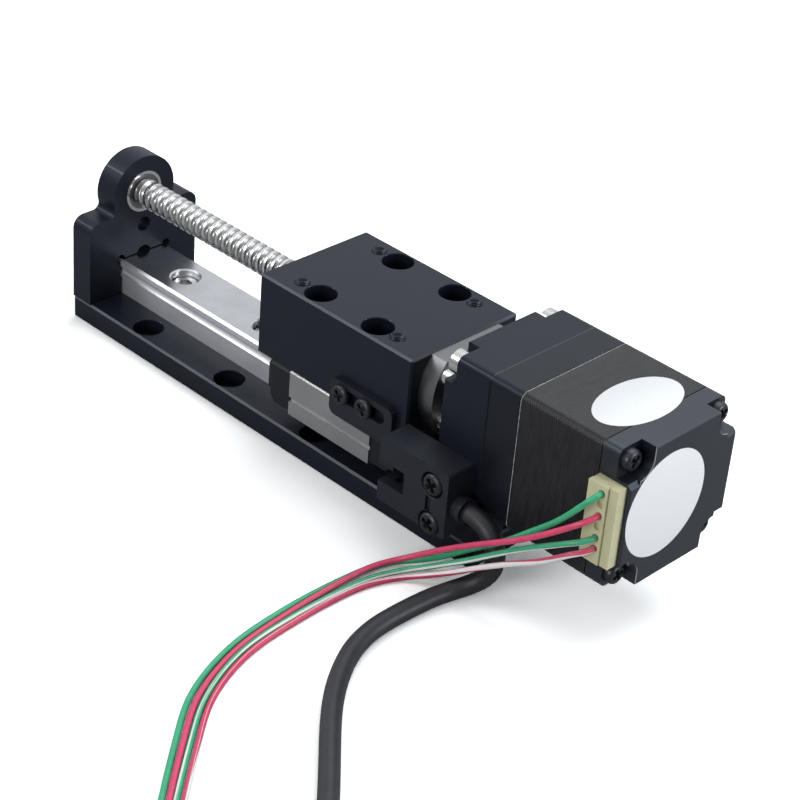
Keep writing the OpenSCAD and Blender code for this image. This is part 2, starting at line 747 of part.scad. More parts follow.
module ball_nut() {
  body_x = x_nut - nut_l;
  color([0.5, 0.5, 0.51]) difference() {
    union() {
      rod_x(body_x, nut_d / 2, nut_l + 1);
      intersection() {
        rod_x(x_nut, flange_d / 2, flange_t);
        translate([x_nut - 1, -flange_d, z_axis - flange_flat / 2])
          cube([flange_t + 2, 2 * flange_d, flange_flat]);
      }
    }
    rod_x(body_x - 1, screw_d / 2 + run, nut_l + flange_t + 2);
    rod_x(chamber_x, chamber_r, chamber_l);
    rod_x(body_x - 1, wiper_r, wiper_t + 1);
    rod_x(x_nut + flange_t - wiper_t, wiper_r, wiper_t + 1);
    for (a = flange_angles) translate([x_nut + flange_t, flange_y(a), flange_z(a)])
      rotate([0, 90, 0]) translate([0, 0, -flange_t - 1])
        cylinder(r = m25_through, h = flange_t + 2);
  }
}

// Load balls along the screw's groove, at the nut's place
module nut_balls() {
  per_turn = 15;
  count = floor((chamber_l - ball_d - 0.1) / lead * per_turn);
  // First groove place inside the chamber, measured from the thread's start
  first = chamber_x + ball_d / 2 + 0.05 - helix_x0 - lead / 2;
  color([0.8, 0.81, 0.83]) for (i = [0 : count])
    let (turn = first / lead + i / per_turn)
      translate([helix_x0 + lead / 2 + lead * turn,
        ball_path_r * cos(360 * turn), z_axis + ball_path_r * sin(360 * turn)])
          sphere(ball_d / 2, $fn = 24);
}

module nut_wipers() {
  color([0.85, 0.85, 0.82]) {
    ring_x(x_nut - nut_l, screw_d / 2 + run, wiper_r, wiper_t);
    ring_x(x_nut + flange_t - wiper_t, screw_d / 2 + run, wiper_r, wiper_t);
  }
}

module nut_screws() {
  color([0.74, 0.74, 0.75]) for (a = flange_angles)
    translate([x_nut + flange_t, flange_y(a), flange_z(a)])
      rotate([0, 90, 0]) cap_screw(M25, flange_t + nut_grip);
}

// ----------------------------------------------------------------- carriage

module carriage() {
  color([0.13, 0.13, 0.14]) difference() {
    translate([x_carriage, -carriage_w / 2, z_guide])
      cut_box([carriage_l, carriage_w, carriage_t], edge_c);
    rod_x(x_carriage - 1, clear_bore_r, carriage_l + 2);
    rod_x(x_nut - nut_l - 0.5, nut_d / 2 + 0.05, nut_l + 1.5);
    for (a = flange_angles) rod_x(x_nut - nut_grip - 0.5, M25[0] / 2 + tap_fit,
      nut_grip + 1.5, flange_y(a), flange_z(a));
    at_corners(x_mid, 0, z_top, bolt_x, bolt_y)
      counterbore(m3_through, bolt_cb_r, bolt_cb_h, carriage_t);
    at_corners(x_mid, 0, z_top, tap_x, tap_y) tapped_bore(tap_d, tap_depth);
    for (x = flag_screw_x) translate([x, -carriage_w / 2, flag_slot_z]) rotate([90, 0, 0])
      translate([0, 0, -flag_grip - 0.2]) cylinder(r = M25[0] / 2 + tap_fit, h = flag_grip + 1);
  }
}

module carriage_screws() {
  color([0.1, 0.1, 0.11]) at_corners(x_mid, 0, z_top - bolt_cb_h, bolt_x, bolt_y)
    cap_screw(M3, carriage_t - bolt_cb_h + bolt_grip);
}

// -------------------------------------------------------------- guide block

module guide_channel(x, l, gap, top) {
  half = rail_w / 2 + gap;
  translate([x, -half, base_t - 1]) cube([l, 2 * half, top - base_t + 1]);
}

module guide_block() {
  x = x_mid - guide_l / 2;
  z = base_t + guide_lift;
  notch = 0.5;
  color([0.66, 0.67, 0.69]) difference() {
    plate_x(x, guide_l) difference() {
      translate([-guide_w / 2, z]) cut_rect(guide_w, z_guide - z, edge_c);
      for (s = [-1, 1]) translate([s * guide_w / 2, race_z + 1.2]) square(2 * notch, center = true);
    }
    guide_channel(x - 1, guide_l + 2, 0.4, z_rail + 0.5);
    for (s = [-1, 1]) {
      rod_x(x - 1, race_r, guide_l + 2, s * race_y, race_z);
      rod_x(x - 1, return_r, guide_l + 2, s * return_y, race_z);
      for (m = [-1, 1]) rod_x(x_mid + m * (guide_l / 2 - cap_grip) - cap_grip - 0.2, M2_r + tap_fit,
        2 * cap_grip + 0.4, s * cap_screw_y, cap_screw_z);
    }
    at_corners(x_mid, 0, z_guide, bolt_x, bolt_y)
      translate([0, 0, -guide_thread]) cylinder(r = M3[0] / 2 + tap_fit, h = guide_thread + 1);
  }
}

// End caps with the passages that turn the balls round
module guide_end_caps() {
  w = guide_w - 0.6;
  z = base_t + guide_lift + 0.3;
  h = z_guide - 0.4 - z;
  slope = 1.8;
  turn_r = (return_y - race_y) / 2;
  color([0.2, 0.21, 0.23]) for (m = [0, 1]) translate([x_mid, 0, 0]) mirror([m, 0, 0])
    difference() {
      intersection() {
        plate_y(w / 2, w) polygon([
          [guide_l / 2, z], [guide_l / 2 + cap_l - slope, z], [guide_l / 2 + cap_l, z + slope],
          [guide_l / 2 + cap_l, z + h - 0.3], [guide_l / 2 + cap_l - 0.3, z + h], [guide_l / 2, z + h]
        ]);
        plate_x(guide_l / 2, cap_l) translate([-w / 2, z]) cut_rect(w, h, 0.6);
      }
      guide_channel(guide_l / 2 - 1, cap_l + 2, loose, z_rail + 0.4);
      for (s = [-1, 1]) {
        translate([guide_l / 2, s * (race_y + return_y) / 2, race_z]) rotate_extrude()
          translate([turn_r, 0]) circle(return_r);
        rod_x(guide_l / 2 - 1, M2_r + 0.1, cap_l + 2, s * cap_screw_y, cap_screw_z);
      }
    }
}

module guide_seals() {
  w = guide_w - 1.4;
  z = base_t + guide_lift + 2.4;
  color([0.1, 0.1, 0.1]) for (m = [0, 1]) translate([x_mid, 0, 0]) mirror([m, 0, 0])
    difference() {
      plate_x(guide_l / 2 + cap_l, seal_t) translate([-w / 2, z]) cut_rect(w, z_guide - 0.8 - z, 0.8);
      guide_channel(guide_l / 2 + cap_l - 1, seal_t + 2, 0.15, z_rail + 0.2);
      for (s = [-1, 1]) rod_x(guide_l / 2 + cap_l - 1, M2_r + 0.1, seal_t + 2,
        s * cap_screw_y, cap_screw_z);
    }
}

module guide_cap_screws() {
  color([0.1, 0.1, 0.11]) for (m = [0, 1], s = [-1, 1]) translate([x_mid, 0, 0]) mirror([m, 0, 0])
    translate([guide_l / 2 + cap_l + seal_t, s * cap_screw_y, cap_screw_z]) rotate([0, 90, 0])
      pan_screw(2 * M2_r, cap_head[0], cap_head[1], cap_l + seal_t + cap_grip);
}

module guide_balls() {
  pitch = guide_ball + 0.06;
  n = floor(guide_l / pitch);
  turn_r = (return_y - race_y) / 2;
  color([0.8, 0.81, 0.83]) for (s = [-1, 1]) {
    for (i = [0 : n - 1], y = [race_y, return_y])
      translate([x_mid + (i - (n - 1) / 2) * pitch, s * y, race_z]) sphere(guide_ball / 2, $fn = 24);
    for (m = [-1, 1]) translate([x_mid + m * (guide_l / 2 + turn_r), s * (race_y + return_y) / 2, race_z])
      sphere(guide_ball / 2, $fn = 24);
  }
}

// ---------------------------------------------------------- flag and sensor

// Sheet flag with an adjusting slot; its bent blade enters the sensor
module sensor_flag() {
  color([0.17, 0.17, 0.18]) {
    difference() {
      plate_y(-carriage_w / 2, flag_t) {
        translate([flag_x0, flag_z0]) round_rect(flag_l, flag_z1 - flag_z0, flag_corner);
        translate([neck_x, blade_z]) square([neck_w, flag_z0 + flag_corner - blade_z]);
      }
      plate_y(1 - carriage_w / 2, flag_t + 2)
        translate([flag_slot_x, flag_slot_z]) round_slot(flag_slot[0], flag_slot[1]);
    }
    translate([neck_x + neck_w - blade_root, flag_y - blade_out, blade_z])
      cube([blade_l, blade_out + flag_t, flag_t]);
  }
}

module flag_screws() {
  color([0.1, 0.1, 0.11]) for (x = flag_screw_x) translate([x, flag_y, flag_slot_z])
    rotate([90, 0, 0]) pan_screw(M25[0], flag_head[0], flag_head[1], flag_t + flag_grip);
}

module home_sensor() {
  color([0.12, 0.12, 0.13]) difference() {
    plate_y(y_header, sensor_t) difference() {
      translate([x_sensor, z_sensor]) cut_rect(sensor_l, sensor_h, 0.3);
      translate([x_sensor - 1, slot_z]) square([slot_l + 1, slot_h]);
    }
    for (z = sensor_screw_z) translate([x_foot, y_sensor, z]) rotate([90, 0, 0])
      counterbore(m25_through, sensor_cb_r, sensor_cb_t, sensor_t);
    // Moulding recess between the two screws
    translate([x_foot - recess_w, y_sensor - 1, z_sensor_mid - recess_h / 2])
      cube([recess_w, 1 + recess_t, recess_h]);
    // Windows of the light barrier, in the two arms
    for (z = [slot_z - 0.6, slot_z + slot_h - 0.3])
      translate([window_x, window_y, z]) cube([window_w, window_l, 0.9]);
  }
}

module sensor_screws() {
  color([0.1, 0.1, 0.11]) for (z = sensor_screw_z) translate([x_foot, y_sensor + sensor_cb_t, z])
    rotate([90, 0, 0])
      pan_screw(M25[0], sensor_head[0], sensor_head[1], sensor_t - sensor_cb_t + sensor_grip);
}

// Moulded collar that the cable leaves by
module sensor_gland() {
  x = x_sensor + sensor_l;
  color([0.1, 0.1, 0.11]) difference() {
    rod_x(x, gland_r, gland_l, gland_y, gland_z);
    rod_x(x + gland_l - 0.1, cable_d / 2 + 0.1, 1, gland_y, gland_z);
  }
}

// ------------------------------------------------------------ motor bracket

// Pockets for the screws at the motor's corners, open towards the corners
module corner_pockets(x, r, depth) {
  for (sy = [-1, 1], sz = [-1, 1]) translate([x, 0, z_axis]) mirror([0, sy > 0 ? 0 : 1, 0])
    mirror([0, 0, sz > 0 ? 0 : 1]) {
      rod_x(0, r, depth, corner, corner);
      translate([0, corner - r, corner]) cube([depth, motor_w, motor_w]);
      translate([0, corner, corner - r]) cube([depth, motor_w, motor_w]);
    }
}

// Bevels between the rear face and the pockets' walls, on the motor's sides
module pocket_bevels() {
  b = pocket_bevel;
  for (sy = [-1, 1], sz = [-1, 1]) translate([x_tail, 0, z_axis]) mirror([0, sy > 0 ? 0 : 1, 0])
    mirror([0, 0, sz > 0 ? 0 : 1]) translate([0, corner + motor_w, corner - tail_pocket_r])
      rotate([90, 0, 0]) linear_extrude(motor_w) polygon([[-b, 0], [1, -b - 1], [1, 1], [-b, 1]]);
}

module motor_bracket() {
  color([0.13, 0.13, 0.14]) difference() {
    intersection() {
      translate([x_bracket, -motor_w / 2, base_t]) cut_box([bracket_t, motor_w, bracket_h], rim_c);
      plate_x(x_bracket, bracket_t) translate([-motor_w / 2, base_t]) {
        round_rect(motor_w, bracket_h, corner_r);
        square([motor_w, bracket_h / 2]);
      }
    }
    rail_slot(x_bracket - 1, bracket_t + 2);
    rod_x(x_bracket - 1, 4.5, bracket_t + 2);
    rod_x(x_motor - pilot_t - 0.1, pilot_r + slip, pilot_t + 1);
    corner_pockets(x_bracket - 1, pocket_r, pocket_t + 1);
    for (sy = [-1, 1], sz = [-1, 1])
      rod_x(x_bracket, m25_through, bracket_t + 1, sy * corner, z_axis + sz * corner);
    for (z = sensor_screw_z) translate([x_foot, y_header, z]) rotate([-90, 0, 0])
      translate([0, 0, -1]) cylinder(r = M25[0] / 2 + tap_fit, h = sensor_grip + 1.3);
    foot_taps(foot_screw_x[1]);
  }
}

module bracket_screws() {
  color([0.74, 0.74, 0.75]) at_motor_corners(x_bracket + pocket_t)
    mirror([0, 0, 1]) cap_screw(M25, bracket_t - pocket_t + front_grip);
}

// -------------------------------------------------------------------- motor

// Square block of the motor's section, with its rims chamfered
module motor_block(x, l) {
  intersection() {
    translate([x, -motor_w / 2, z_motor]) cut_box([l, motor_w, motor_w], rim_c);
    plate_x(x, l) translate([-motor_w / 2, z_motor]) round_rect(motor_w, motor_w, corner_r);
  }
}

module motor_front_cap() {
  color([0.14, 0.14, 0.15]) difference() {
    union() {
      motor_block(x_motor, front_l);
      rod_x(x_motor - pilot_t, pilot_r, pilot_t + 1);
    }
    rod_x(x_motor - pilot_t - 1, 3.6, pilot_t + 3);
    rod_x(front_bearing_x, mb_d / 2, front_l);
    rod_x(x_stack - end_room, cavity_r, end_room + 1);
    for (sy = [-1, 1], sz = [-1, 1])
      rod_x(x_motor - 1, M25[0] / 2 + tap_fit, front_l + 2, sy * corner, z_axis + sz * corner);
  }
}

// Laminated stack, with its poles as one profile
module stator_stack() {
  color([0.1, 0.1, 0.11]) plate_x(x_stack, stack_l) difference() {
    translate([0, z_axis]) {
      difference() {
        translate([-motor_w / 2, -motor_w / 2]) round_rect(motor_w, motor_w, corner_r);
        circle(slot_r);
        for (sy = [-1, 1], sz = [-1, 1]) translate([sy * corner, sz * corner]) circle(M25[0] / 2 + run);
      }
      for (i = [0 : pole_n - 1]) rotate([0, 0, 360 * (i + 0.5) / pole_n])
        translate([bore_r - 0.4, -pole_w / 2]) square([slot_r - bore_r + 0.8, pole_w]);
      intersection() {
        difference() {
          circle(bore_r + 0.8);
          circle(bore_r - 0.5);
        }
        for (i = [0 : pole_n - 1]) rotate([0, 0, 360 * (i + 0.5) / pole_n])
          translate([0, -2.4]) square([slot_r, 4.8]);
      }
    }
    translate([0, z_axis]) circle(bore_r);
  }
}

// One coil round each pole
module stator_coils() {
  in_w = pole_w + 0.1;
  color([0.7, 0.35, 0.16]) for (i = [0 : pole_n - 1])
    translate([x_stack + stack_l / 2, 0, z_axis]) rotate([360 * (i + 0.5) / pole_n, 0, 0])
      translate([0, coil_r, 0]) rotate([-90, 0, 0]) linear_extrude(coil_h) difference() {
        square([stack_l + 2 * coil_t, in_w + 2 * coil_t], center = true);
        square([stack_l + 0.1, in_w], center = true);
      }
}

module motor_rear_cap() {
  color([0.2, 0.2, 0.21]) difference() {
    motor_block(x_rear, rear_l);
    rod_x(x_rear - 1, cavity_r, end_room + 1);
    rod_x(x_rear, mb_d / 2, rear_bearing_x + mb_w + washer_t - x_rear);
    corner_pockets(x_tail - tail_pocket_t, tail_pocket_r, tail_pocket_t + 1);
    pocket_bevels();
    for (sy = [-1, 1], sz = [-1, 1])
      rod_x(x_rear - 1, M25[0] / 2 + run, rear_l + 2, sy * corner, z_axis + sz * corner);
    translate([header_x, y_header - 1, header_z]) cube([header_w, header_in + 1, header_l]);
  }
}

module motor_screws() {
  color([0.12, 0.12, 0.13]) at_motor_corners(x_tail - tail_pocket_t)
    pan_screw(M25[0], motor_head[0], motor_head[1], rear_l - tail_pocket_t + stack_l + 2);
}

module rotor() {
  l = stack_l - 4;
  color([0.4, 0.4, 0.42]) plate_x(x_stack + 2, l) translate([0, z_axis]) difference() {
    circle(bore_r - 0.15);
    circle(shaft_d / 2 + slip);
    for (i = [0 : rotor_teeth - 1]) rotate([0, 0, 360 * i / rotor_teeth])
      translate([bore_r - 0.7, -0.22]) square([1, 0.44]);
  }
}

module front_bearing_outer() {
  color([0.75, 0.76, 0.78])
    bearing_ring(front_bearing_x, mb_outer_r, mb_d / 2 - slip, mb_w, mb_path_r, mb_ball_r);
}

module front_bearing_inner() {
  color([0.75, 0.76, 0.78])
    bearing_ring(front_bearing_x, shaft_d / 2 + slip, mb_inner_r, mb_w, mb_path_r, mb_ball_r);
}

module front_bearing_balls() {
  color([0.8, 0.81, 0.83]) bearing_balls(front_bearing_x, mb_w, mb_path_r, mb_ball_r, 8);
}

module rear_bearing_outer() {
  color([0.75, 0.76, 0.78])
    bearing_ring(rear_bearing_x, mb_outer_r, mb_d / 2 - slip, mb_w, mb_path_r, mb_ball_r);
}

module rear_bearing_inner() {
  color([0.75, 0.76, 0.78])
    bearing_ring(rear_bearing_x, shaft_d / 2 + slip, mb_inner_r, mb_w, mb_path_r, mb_ball_r);
}

module rear_bearing_balls() {
  color([0.8, 0.81, 0.83]) bearing_balls(rear_bearing_x, mb_w, mb_path_r, mb_ball_r, 8);
}

// Spring that loads the rear bearing
module wave_washer() {
  color([0.6, 0.6, 0.62]) ring_x(rear_bearing_x + mb_w, mb_outer_r, mb_d / 2 - slip, washer_t);
}

// ---------------------------------------------------------- motor connector

module motor_header() {
  color([0.9, 0.89, 0.76]) difference() {
    union() {
      translate([header_x, y_header - header_out, header_z])
        cube([header_w, header_out + header_in, header_l]);
      translate([header_x + header_w - key_wall, y_header - key_out, header_z])
        cube([key_wall, key_out, header_l]);
    }
    translate([header_x + header_wall, y_header - key_out - 1, header_z + header_wall])
      cube([header_w - header_wall - key_wall, key_out + 1 + header_floor, header_l - 2 * header_wall]);
  }
}

module header_pins() {
  color([0.8, 0.79, 0.74]) for (i = [0 : pin_n - 1])
    translate([pin_x - pin_w / 2, y_header - pin_out, pin_height(i) - pin_w / 2])
      cube([pin_w, pin_out + header_floor, pin_w]);
}

module lead_plug() {
  x = header_x + header_wall + 0.1;
  w = header_w - header_wall - key_wall - 0.2;
  z = header_z + header_wall + 0.1;
  l = header_l - 2 * (header_wall + 0.1);
  y = y_header + header_floor - 0.3;
  color([0.9, 0.89, 0.76]) difference() {
    union() {
      translate([x, y_header - header_out - 0.5, z]) cube([w, y - y_header + header_out + 0.5, l]);
      translate([header_x - 0.2, y_plug, header_z + 0.1])
        cube([x + w - header_x + 0.2, plug_cap, header_l - 0.2]);
    }
    for (i = [0 : pin_n - 1]) {
      translate([pin_x - 0.4, y_header - 1.1, pin_height(i) - 0.4]) cube([0.8, 5, 0.8]);
      // Wire entries; one with a lead ends at the lead
      translate([pin_x, y_plug, pin_height(i)]) rotate([-90, 0, 0])
        translate([0, 0, -1]) cylinder(r = entry_r, h = 1 + (is_wired(i) ? entry_t : 2 * entry_t));
    }
  }
}

// -------------------------------------------------------------------- cords

module lead_green() {
  color([0.25, 0.72, 0.5]) tube(green_route, lead_d);
}

module lead_red() {
  color([0.85, 0.25, 0.42]) tube(red_route, lead_d);
}

module lead_green_white() {
  color([0.35, 0.7, 0.52]) tube(green_white_route, lead_d);
}

module lead_red_white() {
  color([0.88, 0.45, 0.55]) tube(red_white_route, lead_d);
}

// Closed ring of a coil's outer shape, standing on the floor
module coil(at, r, h) {
  translate([at[0], at[1], 0]) rotate_extrude() translate([r[0], 0]) round_rect(r[1] - r[0], h, 1);
}

module lead_coil() {
  color([0.6, 0.5, 0.5]) coil(lead_coil_at, lead_coil_r, lead_coil_h);
}

module sensor_cable() {
  color([0.16, 0.16, 0.18]) tube(cable_route, cable_d);
}

module sensor_cable_coil() {
  color([0.16, 0.16, 0.18]) coil(cable_coil_at, cable_coil_r, cable_coil_h);
}

// --------------------------------------------------------------------- part

base_plate();
guide_rail();
rail_screws();
end_block();
foot_screws();
end_bearing_outer();
end_bearing_inner();
end_bearing_balls();
end_bearing_shields();
end_circlip();
ball_screw();
ball_nut();
nut_balls();
nut_wipers();
nut_screws();
carriage();
carriage_screws();
guide_block();
guide_end_caps();
guide_seals();
guide_cap_screws();
guide_balls();
sensor_flag();
flag_screws();
home_sensor();
sensor_screws();
sensor_gland();
motor_bracket();
bracket_screws();
motor_front_cap();
stator_stack();
stator_coils();
motor_rear_cap();
motor_screws();
rotor();
front_bearing_outer();
front_bearing_inner();
front_bearing_balls();
rear_bearing_outer();
rear_bearing_inner();
rear_bearing_balls();
wave_washer();
motor_header();
header_pins();
lead_plug();
lead_green();
lead_red();
lead_green_white();
lead_red_white();
lead_coil();
sensor_cable();
sensor_cable_coil();
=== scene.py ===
"""Ball screw linear module: studio camera, free cords, finishes and the small
pieces that stand for or lie on the CAD model. Lengths are in metres, written
as millimetres times MM, and names that end in _MM hold plain millimetres."""
import json
import math

import bmesh
import bpy
from mathutils import Matrix, Vector
from mathutils.geometry import tessellate_polygon


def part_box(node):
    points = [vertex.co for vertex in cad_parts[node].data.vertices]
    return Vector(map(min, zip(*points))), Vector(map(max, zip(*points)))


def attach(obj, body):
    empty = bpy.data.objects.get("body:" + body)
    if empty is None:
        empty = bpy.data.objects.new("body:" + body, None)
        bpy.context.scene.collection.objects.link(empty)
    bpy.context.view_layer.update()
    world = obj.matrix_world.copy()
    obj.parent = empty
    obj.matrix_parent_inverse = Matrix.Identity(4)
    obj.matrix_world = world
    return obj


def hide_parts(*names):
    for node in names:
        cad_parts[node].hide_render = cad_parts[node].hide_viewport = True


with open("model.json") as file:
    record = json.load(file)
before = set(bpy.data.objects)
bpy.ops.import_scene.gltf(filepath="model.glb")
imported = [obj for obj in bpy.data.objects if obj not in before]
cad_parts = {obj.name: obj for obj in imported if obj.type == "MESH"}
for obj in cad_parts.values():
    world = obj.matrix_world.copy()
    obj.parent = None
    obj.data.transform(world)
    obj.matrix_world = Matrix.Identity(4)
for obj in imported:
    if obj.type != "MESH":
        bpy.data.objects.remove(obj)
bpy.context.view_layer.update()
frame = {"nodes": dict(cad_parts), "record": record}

MM = 0.001
nodes = frame["nodes"]
scene = bpy.context.scene


# ------------------------------------------------------------------ helpers

def new_object(name, verts, faces, smooth=True):
    """Mesh object from points in metres."""
    mesh = bpy.data.meshes.new(name)
    mesh.from_pydata([tuple(v) for v in verts], [], faces)
    mesh.validate()
    mesh.update()
    for polygon in mesh.polygons:
        polygon.use_smooth = smooth
    obj = bpy.data.objects.new(name, mesh)
    scene.collection.objects.link(obj)
    return obj


def shade_by_angle(obj, degrees):
    """Smooth shading with sharp edges where faces meet at more than an angle."""
    mesh = obj.data
    for polygon in mesh.polygons:
        polygon.use_smooth = True
    mesh.set_sharp_from_angle(angle=math.radians(degrees))


def node_centre(name):
    low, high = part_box(name)
    return (low + high) / 2


# ------------------------------------------------------------------- camera

AZIMUTH = math.radians(42.515)
ELEVATION = math.radians(32.143)
ROLL = math.radians(4.94)
TARGET = Vector((18.858, 5.605, 9.407)) * MM
DISTANCE = 425.1 * MM

back = Vector((
    math.sin(AZIMUTH) * math.cos(ELEVATION),
    -math.cos(AZIMUTH) * math.cos(ELEVATION),
    math.sin(ELEVATION),
))
right = Vector((math.cos(AZIMUTH), math.sin(AZIMUTH), 0))
up = back.cross(right)
image_x = right * math.cos(ROLL) + up * math.sin(ROLL)
image_y = back.cross(image_x)

camera_data = bpy.data.cameras.new("camera")
camera_data.sensor_width = 36
camera_data.lens = 99.5
camera_data.clip_start = 0.01
camera = bpy.data.objects.new("camera", camera_data)
scene.collection.objects.link(camera)
rotation = Matrix((image_x, image_y, back)).transposed().to_4x4()
camera.matrix_world = Matrix.Translation(TARGET + back * DISTANCE) @ rotation
scene.camera = camera


# -------------------------------------------------------------------- cords

def smooth_path(points, step):
    """Catmull-Rom curve through points, cut into lengths of about step."""
    ends = [points[0] * 2 - points[1]] + points + [points[-1] * 2 - points[-2]]
    path = []
    for p0, p1, p2, p3 in zip(ends, ends[1:], ends[2:], ends[3:]):
        # Centripetal knots keep unevenly spaced points free of loops
        t1 = math.sqrt((p1 - p0).length)
        t2 = t1 + math.sqrt((p2 - p1).length)
        t3 = t2 + math.sqrt((p3 - p2).length)
        count = max(2, math.ceil((p2 - p1).length / step))
        for i in range(count):
            t = t1 + (t2 - t1) * i / count
            a1 = p0 * ((t1 - t) / t1) + p1 * (t / t1)
            a2 = p1 * ((t2 - t) / (t2 - t1)) + p2 * ((t - t1) / (t2 - t1))
            a3 = p2 * ((t3 - t) / (t3 - t2)) + p3 * ((t - t2) / (t3 - t2))
            b1 = a1 * ((t2 - t) / t2) + a2 * (t / t2)
            b2 = a2 * ((t3 - t) / (t3 - t1)) + a3 * ((t - t1) / (t3 - t1))
            path.append(b1 * ((t2 - t) / (t2 - t1)) + b2 * ((t - t1) / (t2 - t1)))
    path.append(points[-1])
    return path


def relaxed(path, rounds):
    """Path with its tightest bends eased, and both its ends kept."""
    for _ in range(rounds):
        path = [path[0]] + [
            (a + b * 2 + c) / 4 for a, b, c in zip(path, path[1:], path[2:])
        ] + [path[-1]]
    return path


def path_length(path):
    return sum((b - a).length for a, b in zip(path, path[1:]))


def tube(name, path, diameter, sides, level=False):
    """Closed tube along a path, with each point's place around and along it.
    Where level is true the first side points up all the way, as a tracer does."""
    radius = diameter / 2
    tangents = []
    for i in range(len(path)):
        a, b = path[max(i - 1, 0)], path[min(i + 1, len(path) - 1)]
        tangents.append((b - a).normalized())
    side = tangents[0].cross(Vector((0, 0, 1))).normalized()
    verts, around, along = [], [], []
    run = 0.0
    for i, (point, tangent) in enumerate(zip(path, tangents)):
        if level:
            side = Vector((0, 0, 1))
        side = (side - tangent * side.dot(tangent)).normalized()
        other = tangent.cross(side)
        if i:
            run += (point - path[i - 1]).length
        for k in range(sides):
            a = 2 * math.pi * k / sides
            verts.append(point + (side * math.cos(a) + other * math.sin(a)) * radius)
            around.append(k / sides)
            along.append(run)
    faces = []
    for i in range(len(path) - 1):
        for k in range(sides):
            a, b = i * sides + k, i * sides + (k + 1) % sides
            faces.append((a, b, b + sides, a + sides))
    last = (len(path) - 1) * sides
    faces.append(tuple(reversed(range(sides))))
    faces.append(tuple(last + k for k in range(sides)))
    obj = new_object(name, verts, faces)
    for key, values in (("around", around), ("along", along)):
        attribute = obj.data.attributes.new(key, "FLOAT", "POINT")
        attribute.data.foreach_set("value", values)
    return obj


# Routes as in the part's source, from the plug or the gland to the coil
ROUTES_MM = {
    "lead_green": [
        (85.45, -16.3, 33.3), (85.45, -17, 33.3), (85.3, -18.2, 33.05), (84.7, -19.1, 32.4),
        (83.4, -19.5, 30.6), (79.8, -19.8, 26.2), (74.4, -20, 21), (68.6, -20, 15.6),
        (62, -20, 10.4), (55.4, -20.2, 5), (50.6, -20.8, 1.8), (47.6, -23, 0.8),
        (45.8, -27.4, 0.6), (45, -34.6, 0.6), (45, -48, 0.6), (46.8, -61.8, 0.6),
        (51.8, -74.4, 0.6), (60.2, -85.2, 0.6), (77.8, -104.9, 0.6),
    ],
    "lead_red": [
        (85.45, -16.3, 28.9), (85.45, -17, 28.9), (85.25, -18.2, 28.7), (84.6, -19.2, 28.2),
        (83.2, -20, 27.1), (79.6, -21, 24.2), (74, -21.8, 20), (69.8, -22, 17.2),
        (63.4, -21.8, 12.8), (56.8, -21.6, 8), (51.8, -22, 4.2), (48.6, -23.8, 2.2),
        (46.7, -28, 1.7), (46, -34.6, 1.2), (46.2, -48, 0.6), (48, -61.4, 0.6),
        (53, -73.8, 0.6), (61, -84.2, 0.6), (77.2, -102.5, 0.6),
    ],
    "lead_green_white": [
        (85.45, -16.3, 24.5), (85.45, -17, 24.5), (85.2, -18.2, 24.4), (84.4, -19.2, 24.1),
        (82.8, -20, 23.4), (80, -20.6, 21.7), (75.6, -21.2, 18.9), (69.8, -21.6, 14.7),
        (63.4, -21.6, 9.6), (56.8, -21.8, 4.8), (52.4, -22.6, 1.9), (49.8, -24.8, 0.8),
        (48.2, -28.8, 0.6), (47.4, -34.4, 0.6), (47.4, -48, 0.6), (49, -61.2, 0.6),
        (54, -73.2, 0.6), (61.8, -83.4, 0.6), (77.2, -100.9, 0.6),
    ],
    "lead_red_white": [
        (85.45, -16.3, 22.3), (85.45, -17, 22.3), (85.2, -18.2, 22.2), (84.4, -19.2, 21.9),
        (83, -19.9, 21.1), (80.6, -20.5, 19.2), (77.2, -21, 16.8), (72, -21.4, 13.6),
        (65.8, -21.8, 9.4), (59.6, -22.2, 4.9), (54.8, -23, 1.9), (51.8, -25.2, 0.8),
        (49.6, -29.6, 0.6), (48.6, -35, 0.6), (48.6, -48, 0.6), (50.2, -61, 0.6),
        (55, -72.6, 0.6), (62.8, -82.6, 0.6), (77, -98.9, 0.6),
    ],
    "sensor_cable": [
        (57.75, -17.2, 14.8), (59.9, -17.2, 14.8), (63, -17.2, 13.9), (65.2, -17.3, 11.6),
        (66, -17.5, 8.6), (65.1, -18, 5.6), (63.1, -19.3, 3.3), (61.3, -21.6, 2.1),
        (60.2, -24.8, 1.8), (59.7, -29, 1.8), (59.5, -34, 1.8), (59.6, -40, 1.8),
        (61.2, -46.6, 1.8), (64.6, -53, 1.8), (69.6, -59.6, 1.8), (84, -74, 1.8),
        (102.2, -92.2, 1.8),
    ],
}
LEAD_D = 1.1 * MM
CABLE_D = 3.6 * MM
LEAD_LENGTH = 0.3
CABLE_LENGTH = 0.95
EASING_ROUNDS = 3
LEAD_COIL_AT = Vector((90, -100.6, 0)) * MM
CABLE_COIL_AT = Vector((130, -85, 0)) * MM
# Both coils are entered along this heading and turn to the left
HEADING = math.radians(-45)
ENTRY = HEADING - math.pi / 2


def route_to_coil(name, centre, radius, step):
    """Path from the exit to the point where the cord joins its coil."""
    points = [Vector(p) * MM for p in ROUTES_MM[name]]
    spoke = Vector((math.cos(ENTRY), math.sin(ENTRY), 0))
    points.append(centre + spoke * radius + Vector((0, 0, points[-1].z)))
    return relaxed(smooth_path(points, step), EASING_ROUNDS)


LEAD_TURN_RISE = 1.25 * MM


